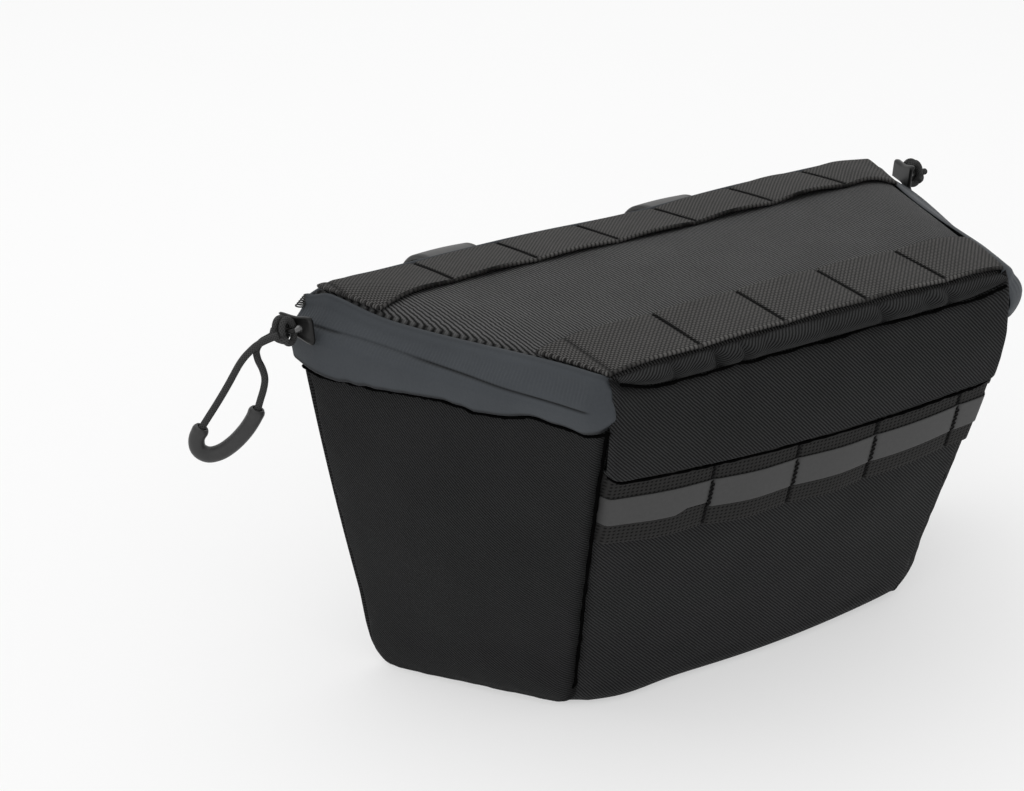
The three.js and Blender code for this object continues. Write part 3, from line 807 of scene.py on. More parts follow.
def brick_material(name, dash, row, dark, light):
    """Webbing whose threads show as rows of dashes, each row half a dash on."""
    s = Shader(name, 0.85, sheen=0.02, specular=0.1)
    along, across = s.cloth_place()
    wobble = s.math("MULTIPLY", s.noise(800.0), 0.2)
    rows = s.math("DIVIDE", s.math("ADD", across, wobble), row)
    offset = s.math("MULTIPLY", s.math("FLOOR", rows), 0.5)
    places = s.math("ADD", s.math("DIVIDE", along, dash), offset)
    in_dash = s.math("ABSOLUTE", s.math("SINE", s.math("MULTIPLY", places, math.pi)))
    in_row = s.math("ABSOLUTE", s.math("SINE", s.math("MULTIPLY", rows, math.pi)))
    height = s.math("POWER", s.math("MULTIPLY", in_dash, in_row), 0.9)
    patchy = s.math("MULTIPLY_ADD", s.noise(90.0, 3.0), 0.3, 0.85)
    factor = s.math("MULTIPLY", height, patchy)
    s.colour(s.with_painted_shade(s.mix(factor, grey(dark, 0.03), grey(light, 0.03))))
    s.bump(height, 0.25)
    return s.material


def dotted_material(name, pitch, dark, light):
    """Open plain weave, with a small dark hole between each four crossings."""
    s = Shader(name, 0.85, sheen=0.02, specular=0.1)
    along, across = s.cloth_place()
    holes = s.math("MULTIPLY", s.wave(along, pitch), s.wave(across, pitch * 0.95))
    hole = s.math("POWER", holes, 1.6)
    fine = s.math("MULTIPLY_ADD", s.noise(1600.0), 0.4, 0.6)
    height = s.math("SUBTRACT", 1.0, hole)
    factor = s.math("MULTIPLY", s.math("POWER", height, 1.5), fine)
    s.colour(s.with_painted_shade(s.mix(factor, grey(dark, 0.02), grey(light, 0.02))))
    s.bump(height, 0.3)
    return s.material


def tape_material():
    """Coated zip tape: smooth, with faint ribs of the teeth behind it."""
    s = Shader("coated_zip_tape", 0.6, sheen=0.02, specular=0.15)
    along, across = s.cloth_place()
    beside = s.math("ABSOLUTE", s.math("SUBTRACT", across, COIL_MIDDLE))
    near_coil = s.math("MAXIMUM", s.math("SUBTRACT", 1.0, s.math("DIVIDE", beside, COIL_REACH)), 0.0)
    teeth = s.math("MULTIPLY", s.wave(along, 1.3), near_coil)
    grain = s.noise(1200.0, 3.0)
    cloud = s.noise(45.0, 3.0)
    height = s.math("ADD", s.math("MULTIPLY", teeth, 1.5), grain)
    factor = s.math("MULTIPLY_ADD", cloud, 0.6, s.math("MULTIPLY", grain, 0.3))
    s.colour(s.with_painted_shade(s.mix(factor, (0.034, 0.038, 0.043, 1), (0.064, 0.071, 0.079, 1))))
    s.bump(height, 0.1)
    return s.material


def plain_material(name, dark, light, roughness, scale=500.0, depth=0.05, **look):
    """A material mixed from two colours by fine noise, which also roughens its surface."""
    s = Shader(name, roughness, **look)
    grain = s.noise(scale, 3.0)
    s.colour(s.with_painted_shade(s.mix(grain, dark, light)))
    s.bump(grain, depth)
    return s.material


def braid_material():
    """Braided cord: two crossing spirals of strands."""
    s = Shader("braided_cord", 0.85, sheen=0.03, specular=0.2)
    along, around = s.cloth_place()
    one = s.wave(s.math("ADD", along, around), 0.9)
    other = s.wave(s.math("SUBTRACT", along, around), 0.9)
    height = s.math("MAXIMUM", one, other)
    s.colour(s.mix(height, grey(0.008), grey(0.050)))
    s.bump(height, 0.15)
    return s.material


FRONT_TWILL = twill_material("front_twill", 0.82, 1.0, 0.003, 0.036)
END_TWILL = twill_material("end_twill", 0.82, -1.0, 0.003, 0.030)
LID_RIB = rib_material("lid_rib", 1.0, 0.005, 0.120)
LID_WEBBING = brick_material("lid_webbing_weave", 1.5, 0.8, 0.003, 0.105)
FRONT_WEBBING = dotted_material("front_webbing_weave", 1.4, 0.001, 0.026)
TAPE = tape_material()
REFLECTIVE = plain_material(
    "reflective_tape", grey(0.050), grey(0.064), 0.55, 900.0, 0.03, specular=0.15
)
RIBBON = plain_material("black_ribbon", grey(0.008), grey(0.018), 0.8, 1500.0, 0.08)
METAL = plain_material(
    "black_enamel", grey(0.004), grey(0.009), 0.35, 300.0, 0.02, specular=0.25, coat=0.04
)
BRIGHT_METAL = plain_material("worn_metal", grey(0.10), grey(0.18), 0.22, 400.0, 0.01, metallic=0.9)
STRAP = plain_material("coated_strap", grey(0.060), grey(0.085), 0.5, 700.0, 0.05, specular=0.3)
CORD = braid_material()
GRIP = plain_material("moulded_grip", grey(0.030), grey(0.044), 0.42, 600.0, 0.02, specular=0.3)
THREAD = plain_material("dark_thread", grey(0.003), grey(0.008), 0.9, 2000.0, 0.02, specular=0.1)
# Painted shadow: a near-black cloth with no shine, laid as tubes in the seams' deep lines.
SEAM_SHADOW = plain_material(
    "painted_seam_shadow", grey(0.001), grey(0.003), 1.0, 2000.0, 0.05, specular=0.0
)
FLOOR = plain_material("pale_floor", grey(0.46), grey(0.47), 0.9, 5.0, 0.0, specular=0.0)


# Camera


def make_camera():
    data = bpy.data.cameras.new("camera")
    camera = bpy.data.objects.new("camera", data)
    bpy.context.collection.objects.link(camera)
    forward = Vector(
        (
            -math.sin(CAMERA_YAW) * math.cos(CAMERA_PITCH),
            math.cos(CAMERA_YAW) * math.cos(CAMERA_PITCH),
            -math.sin(CAMERA_PITCH),
        )
    )
    level = Vector((math.cos(CAMERA_YAW), math.sin(CAMERA_YAW), 0))
    above = level.cross(forward)
    right = level * math.cos(CAMERA_ROLL) + above * math.sin(CAMERA_ROLL)
    up = right.cross(forward)
    turn = Matrix((right, up, -forward)).transposed().to_4x4()
    camera.matrix_world = Matrix.Translation(Vector(to_row(CAMERA_PLACE))) @ turn
    data.sensor_width = SENSOR
    data.lens = FOCAL_PIXELS / IMAGE_WIDTH * SENSOR
    data.clip_start = 0.05
    data.clip_end = 50
    bpy.context.scene.camera = camera


make_camera()


# Pulls


def slider_frame(hand):
    """Directions along the zip, up and outwards at one slider, and its middle."""
    from_corner = SLIDER_FROM_CORNER_LEFT if hand < 0 else SLIDER_FROM_CORNER_RIGHT
    y = wall_y("back", SLIDER_HEIGHT) - CORNER_EASE_Y - from_corner

    def skin(depth, z):
        return end_x(depth, z) + end_swell(depth, z) + END_SLANT * (TAPE_GAP + TAPE_THICKNESS)

    x = skin(y, SLIDER_HEIGHT)
    along = unit(np.array([hand * (x - skin(y - 1, SLIDER_HEIGHT)), 1, 0], float))
    up = np.array([hand * (x - skin(y, SLIDER_HEIGHT - 1)), 0, 1], float)
    out = unit(np.cross(along, up) * hand)
    up = np.cross(out, along) * hand
    origin = np.array([hand * x, y, SLIDER_HEIGHT]) + out * SLIDER_GAP
    origin[0] += settle(origin[0], SLIDER_HEIGHT)
    return along, up, out, origin


def cord_route(hand):
    along, _, out, origin = slider_frame(hand)
    turn = LEFT_PULL_TURN if hand < 0 else RIGHT_PULL_TURN
    crown = SLIDER_THICKNESS + BAIL_RISE + BAIL_WIRE / 2 + (0 if hand < 0 else RIGHT_PULL_REACH)
    eye = origin + along * BAIL_OFFSET + out * (crown + CORD_DIAMETER / 2 + TAPE_GAP)
    outwards = np.array([hand * math.cos(turn), math.sin(turn), 0])
    sideways = np.array([hand * math.sin(turn), -math.cos(turn), 0])
    route = np.array(CORD_ROUTE)
    lift = np.array([0, 0, 1])
    return eye + route[:, :1] * outwards + route[:, 1:2] * sideways + route[:, 2:] * lift


def make_hitch(name, hand):
    """The cord's hitch round the bail: two loops and the turn that holds them."""
    along, up, out, origin = slider_frame(hand)
    middle = origin + along * BAIL_OFFSET + out * (SLIDER_THICKNESS + BAIL_RISE)
    turns = np.linspace(0, 2 * math.pi, 33)
    parts = []
    for aside, tall in HITCH_LOOPS:
        loop = [
            middle
            + along * (aside + 0.5 * math.sin(t))
            + out * 2.4 * math.cos(t)
            + up * tall * math.sin(t)
            for t in turns[:-1]
        ]
        parts.append(closed_loop_part(np.array(loop), HITCH_RADIUS))
    line = smooth_path([middle + along * a + out * o + up * u for a, o, u in HITCH_TURN], 16)
    parts.append(tube_part(line, HITCH_RADIUS))
    return joined_piece(name, parts, CORD)


def closed_loop_part(path, radius, sides=12):
    """A ring of round section along a closed path."""
    count = len(path)
    forward = unit(np.roll(path, -1, axis=0) - np.roll(path, 1, axis=0))
    away = path - path.mean(axis=0)
    away = unit(away - forward * (away * forward).sum(axis=1, keepdims=True))
    other = np.cross(forward, away)
    angles = np.arange(sides) * 2 * math.pi / sides
    verts = path[:, None] + radius * ring_spread(angles, away, other)
    faces = ring_faces(count, sides, count)
    step = np.linalg.norm(np.diff(path, axis=0), axis=1).mean()
    uv = flat_place(np.arange(count)[:, None] * step, angles * radius)
    return verts.reshape(-1, 3), faces, uv.reshape(-1, 2)


def make_pull(side, hand):
    line = smooth_path(cord_route(hand), PULL_STEPS)
    verts, faces, uv = tube_part(line, CORD_DIAMETER / 2, 14)
    cord = mesh_piece("cord_" + side, verts, faces, CORD, uv)
    first, last = round(GRIP_FROM * (PULL_STEPS - 1)), round(GRIP_TO * (PULL_STEPS - 1))
    stretch = line[first : last + 1]
    places = np.linspace(0, 1, len(stretch))
    near_mouth = np.minimum(places, 1 - places) * (len(stretch) - 1)
    radius = GRIP_DIAMETER / 2 + GRIP_LIP * bump_at(near_mouth, 2, 1.5)
    radius = radius - GRIP_MOUTH * bump_at(near_mouth, 0, 0.8)
    verts, faces, uv = tube_part(stretch, radius, 20, GRIP_BORE / 2)
    grip = mesh_piece("grip_" + side, verts, faces, GRIP, uv)
    hitch = make_hitch("hitch_" + side, hand)
    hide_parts("pull_cord_" + side)
    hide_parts("pull_grip_" + side)


for side_name, side_hand in (("left", -1), ("right", 1)):
    make_pull(side_name, side_hand)


# Body cloth


def pouch_edge(x, s):
    """How far down the front the fold's edge lies at x; it climbs round both lower corners."""
    inwards = clamp(front_half(s) - np.abs(x), 0, POUCH_CORNER)
    lift = POUCH_CORNER - np.sqrt(POUCH_CORNER**2 - (POUCH_CORNER - inwards) ** 2)
    return STRIP_TOP + STRIP_TILT * x + POUCH_LAP - 0.7 * lift


def pouch(x, s):
    """The upper front panel stands over the webbing and ends in a fold."""
    turned = clamp((pouch_edge(x, s) - s) / 1.5)
    roll = np.sqrt(clamp(1 - (1 - turned) ** 2))
    rise = np.sin(math.pi / 2 * clamp(s / (0.75 * STRIP_TOP)))
    return POUCH_EDGE * roll * rise


def front_detail(x, s):
    """Dents, folds and puckers of the front panel."""
    inwards = front_inwards(x, s)
    foot = smooth((s - 100) / 20)
    tuck = -SEAM_TUCK * bump_at(inwards, 0, SEAM_WIDTH) * (1 - FOOT_TUCK_LOSS * foot)
    seam = SEAM_PUCKER * noise(s, np.sign(x), SEAM_PUCKER_PITCH, 3) * np.exp(-inwards / SEAM_PUCKER_REACH)
    top = np.exp(-s / PLEAT_REACH)
    pleats = 0.6 * noise(x, s * 0.15, 5.5, 4) * top - TOP_TUCK * bump_at(s, 0, TOP_TUCK_WIDTH)
    pleats = pleats - top * bumps_at(x, PLEATS)
    loose = loose_cloth(x, s, FRONT_LOOSE)
    calm = clamp(inwards / 12) * clamp(s / 10)
    crease = CREASE_DEPTH * bump_at(s + CREASE_SLANT * x, CREASE_PLACE, 5) * clamp((-x - 8) / 25)
    return tuck + seam + pleats + loose * calm - crease


def front_painted_shade(x, s):
    """Painted shade on the front panel: darker at its side seams, along its top seam under the roll and
    in the slot below its fold.
    """
    inwards = front_inwards(x, s)
    side = bump_at(inwards, 0, SEAM_SHADE)
    rim = bump_at(s, 0, 0.9)
    slot = bump_at(s, pouch_edge(x, s) + 0.1, 0.5)
    return clamp(side + rim + slot)


def wrap_rows():
    """Stations of the wrap from the front seam over the floor to the rim of the back."""
    rows = []
    front_turn, back_turn = math.atan2(BODY_TOP, FRONT_LEAN), math.atan2(BODY_TOP, BACK_LEAN)
    front_run = FRONT_FOOT_RADIUS * math.tan(front_turn / 2)
    back_run = BACK_FOOT_RADIUS * math.tan(back_turn / 2)
    for s in [
        *np.arange(0, 26, 1.3),
        *np.arange(26, 36, 0.4),
        *np.linspace(36, SLOPE_LENGTH - front_run, 48, endpoint=False),
    ]:
        rows.append(("front", 0, 0, 0, (-SLOPE_Z, -SLOPE_Y), s))

    def arc(front, y, radius, start, stop, steps):
        for i in range(steps):
            angle = lerp(start, stop, i / steps)
            n = (math.cos(angle), math.sin(angle))
            share = i / steps if front else 1 - i / steps
            kind = "front_foot" if front else "back_foot"
            rows.append((kind, share, y + radius * n[0], radius + radius * n[1], n, 0))

    floor_front = FRONT_LEAN + front_run
    floor_back = TOP_DEPTH - BACK_LEAN - back_run
    arc(True, floor_front, FRONT_FOOT_RADIUS, -math.pi / 2 - front_turn, -math.pi / 2, 12)
    for t in np.linspace(0, 1, 16, endpoint=False):
        rows.append(("floor", t, lerp(floor_front, floor_back, t), 0, (0, -1), 0))
    arc(False, floor_back, BACK_FOOT_RADIUS, -math.pi / 2, -math.pi / 2 + back_turn, 12)
    back_start = BACK_FOOT_RADIUS * (1 - math.cos(back_turn))
    for z in np.linspace(back_start, RIM_HEIGHT, 50):
        n = (math.sin(back_turn), -math.cos(back_turn))
        rows.append(("back", 0, wall_y("back", z), z, n, 0))
    return rows


def make_wrap():
    side = np.sin((np.linspace(0, 1, WRAP_COLUMNS) - 0.5) * math.pi) * 0.55
    side = side + np.linspace(-0.45, 0.45, WRAP_COLUMNS)
    rows = wrap_rows()
    grids = []
    for inner in (0.0, float(WALL)):
        lines = []
        painted_shades = []
        for kind, share, y, z, n, s in rows:
            if kind == "front":
                flat = front_point(0, s, -inner)
                half = end_x(flat[1], flat[2]) - SEAM_GAP - inner * END_SLANT
                x = side * half
                top = clamp(1 - s / FRONT_LIFT_REACH)
                climb = (front_rise(x) - inner * SLOPE_Y / SLOPE_Z) * top
                out = front_fullness(x, s) + pouch(x, s) - inner
                out = out + front_detail(x, s) * (1 if inner == 0 else 0.6)
                lines.append(front_point(x, s - climb, out))
                # Painted shade at the front panel's seams and under its fold.
                painted_shades.append(front_painted_shade(x, s))
                continue
            y_in, z_in = y - n[0] * inner, z - n[1] * inner
            half = end_x(y_in, z_in) - SEAM_GAP - inner * END_SLANT
            x = side * half
            # Painted shade, fainter, along the side seams of the foot and back.
            painted_shades.append(FAINT_SEAM_SHADE * bump_at(half - np.abs(x), 0, SEAM_SHADE))
            if kind == "back":
                ease = back_ease(x, half) * clamp(z_in / CORNER_REACH - 1)
                wave = loose_cloth(x, z_in, BACK_LOOSE) * clamp((half - np.abs(x)) / 15)
                lines.append(np.stack(np.broadcast_arrays(x, y_in - ease + wave, z_in), axis=-1))
                continue
            aside = clamp((np.abs(side) - FOOT_FLAT_SHARE) / (1 - FOOT_FLAT_SHARE))
            sag = lerp(FOOT_SAG, FOOT_DROOP, aside * aside)
            swell = front_fullness(x, SLOPE_LENGTH)
            if kind == "floor":
                forward, down = swell * SLOPE_Z * (1 - share), sag
            elif kind == "front_foot":
                forward, down = swell * SLOPE_Z, lerp(swell * SLOPE_Y, sag, share)
            else:
                forward, down = 0, sag * share
            lines.append(np.stack(np.broadcast_arrays(x, y_in - forward, z_in - down), axis=-1))
        grids.append(np.array(lines))
    outer, inside = (settled(grid) for grid in grids)
    run = run_along(outer[:, WRAP_COLUMNS // 2])
    uv = flat_place(outer[..., 0], -run[:, None])
    piece = shell(
        "wrap_cloth",
        "wrap_panel",
        outer,
        inside,
        uv,
        FRONT_TWILL,
        "panel_cloth",
        np.array(painted_shades),
        proud=0.2,
    )


def make_end(side_name, hand):
    u, v = np.meshgrid(np.linspace(0, 1, 90), np.linspace(0, 1, 100))
    grids = []
    for inner in (0.0, float(WALL)):
        inset = SEAM_GAP / 2 + inner
        z = lerp(inset, RIM_HEIGHT, v**1.25)
        droop = FOOT_DROOP * (1 - v) ** 8
        front = edge_y("front", z, inset)
        back = edge_y("back", z, inset) - CORNER_EASE_Y * clamp(z / CORNER_REACH - 1)
        y = lerp(front, back, bunched(u, 0.6))
        edge = np.minimum(np.minimum(y - front, back - y), z)
        tuck = -SEAM_TUCK * bump_at(edge, 0, SEAM_WIDTH) * lerp(0.1, 1, smooth(z / 20))
        seam = SEAM_PUCKER * noise(z, y, SEAM_PUCKER_PITCH, 13) * np.exp(-edge / SEAM_PUCKER_REACH)
        loose = loose_cloth(y, z, END_LOOSE) * clamp(edge / 14)
        # Painted shade: dark along the front seam, fainter along the other seams.
        front_seam_shade = bump_at(y, front, SEAM_SHADE)
        painted_shade = clamp(front_seam_shade + FAINT_SEAM_SHADE * bump_at(edge, 0, SEAM_SHADE))
        detail = (tuck + seam + loose) * (1 if inner == 0 else 0.6)
        low = bump_at(z, FOOT_BELLY_HEIGHT, 8) * bump_at(y - front, FOOT_BELLY_DEPTH, 30)
        belly = FOOT_BELLY * low * clamp(edge / 3)
        x = end_x(y, z) + end_swell(y, z) - inner * END_SLANT + detail + belly
        x = hand * x
        grids.append(np.stack([x + settle(x, z), y, z - droop], axis=-1))
    uv = flat_place(grids[0][..., 1] * 1.05, grids[0][..., 2])
    name, node = "end_cloth_" + side_name, side_name + "_end_panel"
    piece = shell(name, node, *grids, uv, END_TWILL, "panel_cloth", painted_shade, proud=0.1)


make_wrap()
make_end("left", -1)
make_end("right", 1)


# Lid


def make_lid():
    u, v = np.meshgrid(np.linspace(-1, 1, 170), np.linspace(0, 1, 90))
    y = lerp(LID_FRONT_Y + 1.2, LID_BACK_Y - 1.2, v)
    x = lerp(u, np.sin(u * math.pi / 2), 0.5) * (lid_half(y) - 1.3)
    edge = np.minimum(lid_half(y) - np.abs(x), np.minimum(y - LID_FRONT_Y, LID_BACK_Y - y))
    loose = loose_cloth(x, y, LID_LOOSE) * clamp(edge / 10)
    z = lid_top(x, y) + loose - LID_ROUNDING * bump_at(edge, 0, 2)
    top = leant(x, y, z)
    bottom = top - np.array([0, 0, LID_THICKNESS - 0.4])
    uv = flat_place(x, y)
    # Painted shade just in from the lid's edges.
    painted_shade = 0.3 * bump_at(edge, 0.8, 1.2)
    piece = shell("lid_cloth", "lid", top, bottom, uv, LID_RIB, "lid_cloth", painted_shade, 4, 0.9)


def make_roll():
    u, v = np.meshgrid(np.linspace(0, 1, 220), np.linspace(0, 1, 18))
    x = lerp(-1, 1, u) * ROLL_CLOTH_HALF
    share = clamp(1 - np.abs(x / ROLL_CLOTH_HALF) ** 8)
    foot = BODY_TOP + front_rise(x) + SEAM_GAP - 0.4
    rise = lid_top(x, LID_FRONT_Y) - foot - 0.2
    pucker = 1.2 * noise(x, v * 2, 4.2, 31) + 0.9 * noise(x, v * 4, 9, 32)
    pucker = (pucker - bumps_at(x, ROLL_CREASES)) * np.sin(math.pi * v) ** 0.6
    angle = v * ROLL_TURN
    plump = 1 + ROLL_PLUMP * np.sin(2 * angle) + ROLL_PUCKER * pucker * share
    under = math.cos(ROLL_TURN)
    height = (np.cos(angle) - under) / (1 - under)
    back = LID_FRONT_Y - SEAM_GAP
    forward = back + ROLL_CLOTH_PROUD * share
    grids = []
    for size in (1.0, ROLL_CORE):
        y = back - forward * size * np.sin(angle) * plump
        z = foot + rise * lerp(0.2, height, size) * lerp(1, plump, 0.4)
        grids.append(leant(x, y, z))
    uv = flat_place(grids[0][..., 0], v * 12)
    # Painted shade along the roll's lower seam, fainter along its upper edge.
    painted_shade = bump_at(v, 1, 0.12) + 0.7 * bump_at(v, 0, 0.08)
    look = (uv, FRONT_TWILL, "panel_cloth", clamp(painted_shade), 2, 0.1)
    shell("roll_cloth", "lid_front_roll", *grids, *look)


make_lid()
make_roll()


# Webbing, band and bar tacks


def arch_at(x, centre):
    return (1 - np.cos(2 * math.pi * (x - centre) / TACK_PITCH)) / 2


def tack_dent(x, centre):
    """A narrow dent at each bar tack."""
    away = (x - centre + TACK_PITCH / 2) % TACK_PITCH - TACK_PITCH / 2
    return bump_at(away, 0, TACK_WIDTH)


def lid_webbing_top(x, y, y0, centre, lift):
    """Top of a lid webbing whose front edge is at y0."""
    half = lid_half(y) - WEBBING_GAP
    v = (y - y0) / WEBBING_WIDTH
    free = clamp((half - np.abs(x)) / LID_SHOULDER_REACH)
    slack = 0.5 * (1 + smooth((x - 30) / 25)) if lift else 0.55
    arch = (LID_ARCH + lift * (1 - v) ** 1.5) * arch_at(x, centre) ** 0.7 * free * slack
    uneven = 1 + loose_cloth(x, 0, LID_WEBBING_UNEVEN)
    dent = TACK_DEPTH * tack_dent(x, centre)
    return lid_top(x, y) + WEBBING_GAP + WEBBING_THICKNESS + arch * uneven - dent


def make_lid_webbing(name, node, y0, centre, lift):
    u, v = np.meshgrid(np.linspace(-1, 1, 260), np.linspace(0, 1, 20))
    y = y0 + 0.4 + v * (WEBBING_WIDTH - 0.8)
    x = u * (lid_half(y) - WEBBING_GAP - 0.5)
    y = y + loose_cloth(x, 0, LID_WEBBING_EDGE)
    z = lid_webbing_top(x, y, y0, centre, lift)
    top = leant(x, y, z)
    bottom = top - np.array([0, 0, WEBBING_THICKNESS])
    uv = flat_place(x, y)
    # Painted shade in the dents at the bar tacks.
    painted_shade = 0.75 * tack_dent(x, centre) ** 2
    shell(name, node, top, bottom, uv, LID_WEBBING, "webbing", painted_shade, 4, 0.8)


def strip_dent(x):
    """The dents at the front strip's tacks, of which there is none near its left end."""
    return tack_dent(x, STRIP_TACK_X) * (x > STRIP_TACK_X - 1.5 * TACK_PITCH)


def strip_point(x, s, out):
    """A point over the front panel at the strip; s is counted without the strip's tilt."""
    tilted = s + STRIP_TILT * x
    inwards = front_inwards(x, s)
    tuck = SEAM_TUCK * bump_at(inwards, 0, SEAM_WIDTH)
    base = front_fullness(x, tilted) + 0.3 + WEBBING_GAP - tuck
    free = clamp(inwards / LID_SHOULDER_REACH)
    uneven = 1 + loose_cloth(x, 0, STRIP_UNEVEN)
    first = STRIP_TACK_X - TACK_PITCH
    arched = np.maximum(x, first - TACK_PITCH / 2)
    below = clamp((s - STRIP_TOP) / WEBBING_WIDTH)
    arch = STRIP_ARCH * lerp(0.5, 1.5, below) * arch_at(arched, STRIP_TACK_X) ** 0.7 * free * uneven
    return front_point(x, tilted, base + arch - TACK_DEPTH * strip_dent(x) + out)


def make_front_strip(name, node, start, stop, base, thickness, material, slot, kink=0.0):
    """A strip across the front from s = start to s = stop, narrowed by kink near its left end."""
    u, v = np.meshgrid(np.linspace(-1, 1, 240), np.linspace(0, 1, 18))
    s = lerp(start, stop, v)
    half = front_half(s) - SEAM_GAP
    x = lerp(u, np.sin(u * math.pi / 2), 0.6) * half
    narrowed = smooth((x - KINK_X) / 5) * smooth((STRIP_TACK_X - TACK_PITCH + 0.5 - x) / 1)
    s = s - kink * v * narrowed + loose_cloth(x, 0, STRIP_EDGE)
    top = settled(strip_point(x, s, base + thickness))
    bottom = settled(strip_point(x, s, base))
    uv = flat_place(x, s)
    # Painted shade in the dents at the tacks and along the side seams.
    seam = bump_at(half + SEAM_GAP, np.abs(x), SEAM_SHADE)
    painted_shade = clamp(0.8 * strip_dent(x) ** 2 + seam)
    shell(name, node, top, bottom, uv, material, slot, painted_shade, 3, 0.8)


def tack_part(line, aside):
    """One bar tack: a thread that zigzags across the webbing."""
    points = [point + aside * (TACK_SWAY if i % 2 else -TACK_SWAY) for i, point in enumerate(line)]
    return tube_part(smooth_path(points, len(line) * 5), TACK_THREAD, 6)


def make_bar_tacks():
    parts = []
    aside = np.array([1.0, 0, 0])
    for y0, centre, lift in LID_STRIPS:
        for k in range(-4, 5):
            x = centre + k * TACK_PITCH
            depths = np.arange(y0 + 0.8, y0 + WEBBING_WIDTH - 0.4, TACK_STITCH)
            if abs(x) > lid_half(y0) - 3:
                continue
            z = lid_webbing_top(np.full_like(depths, x), depths, y0, centre, lift) + 0.12
            parts.append(tack_part(leant(x, depths, z), aside))
    for k in range(-3, 4):
        x = STRIP_TACK_X + k * TACK_PITCH
        if abs(x) > 60:
            continue
        s = np.arange(STRIP_TOP + 1.5, STRIP_TOP + WEBBING_WIDTH - 0.4, TACK_STITCH)
        over_band = np.abs(s - BAND_MIDDLE) < BAND_WIDTH / 2
        out = WEBBING_THICKNESS + 0.12 + np.where(over_band, WEBBING_GAP + BAND_THICKNESS, 0)
        parts.append(tack_part(settled(strip_point(np.full_like(s, x), s, out)), aside))
    joined_piece("bar_tacks", parts, THREAD)


LID_STRIPS = (
    (LID_FRONT_Y, FRONT_TACK_X, 0.0),
    (LID_BACK_Y - BACK_WEBBING_INSET - WEBBING_WIDTH, BACK_TACK_X, float(BACK_WEBBING_LIFT)),
)
make_lid_webbing("webbing_lid_front", "lid_webbing_front", *LID_STRIPS[0])
make_lid_webbing("webbing_lid_back", "lid_webbing_back", *LID_STRIPS[1])
make_front_strip(
    "webbing_front",
    "front_webbing",
    STRIP_TOP - 0.8,
    STRIP_TOP + WEBBING_WIDTH,
    0.0,
    WEBBING_THICKNESS,
    FRONT_WEBBING,
    "webbing",
)
make_front_strip(
    "band_front",
    "reflective_band",
    BAND_MIDDLE - BAND_WIDTH / 2,
    BAND_MIDDLE + BAND_WIDTH / 2,
    WEBBING_THICKNESS + 0.15,
    BAND_THICKNESS,
    REFLECTIVE,
    "reflective",
    kink=KINK,
)
make_bar_tacks()


# Zip tape, sliders, straps and tab


def tape_row(v, lid_edge, dip, foot):
    """Height of a row of the tape, and how far it has leant in to the lid."""
    top = lid_edge + TAPE_TOP_LAP - TAPE_SAG * dip
    z = lerp(top, foot, v)
    lean = (z - (RIM_HEIGHT - 2)) / (top - 1.5 - (RIM_HEIGHT - 2))
    return z, smooth(lean) ** 0.9


def tape_tip(y):
    """From 0 to 1 over the last stretch before the tape's front end."""
    return clamp((TAPE_TIP_Y + TAPE_TIP_REACH - y) / TAPE_TIP_REACH)


def tape_hem(y, hand):
    """Height of the tape's wavy lower edge along one end."""
    wave = loose_cloth(y, hand, HEM_WAVES)
    rise = TAPE_TIP_RISE * tape_tip(y) ** 3 - TAPE_NOTCH * bump_at(y, TAPE_NOTCH_Y, 5)
    return tape_foot(y) + wave * clamp((LID_BACK_Y - y) / TAPE_CALM_REACH) + rise


def slit_height(y):
    """Height of the closed zip's line, which lies lower towards the front."""
    return lerp(SLIT_FRONT, SLIT_BACK, smooth((y - 4) / 100))


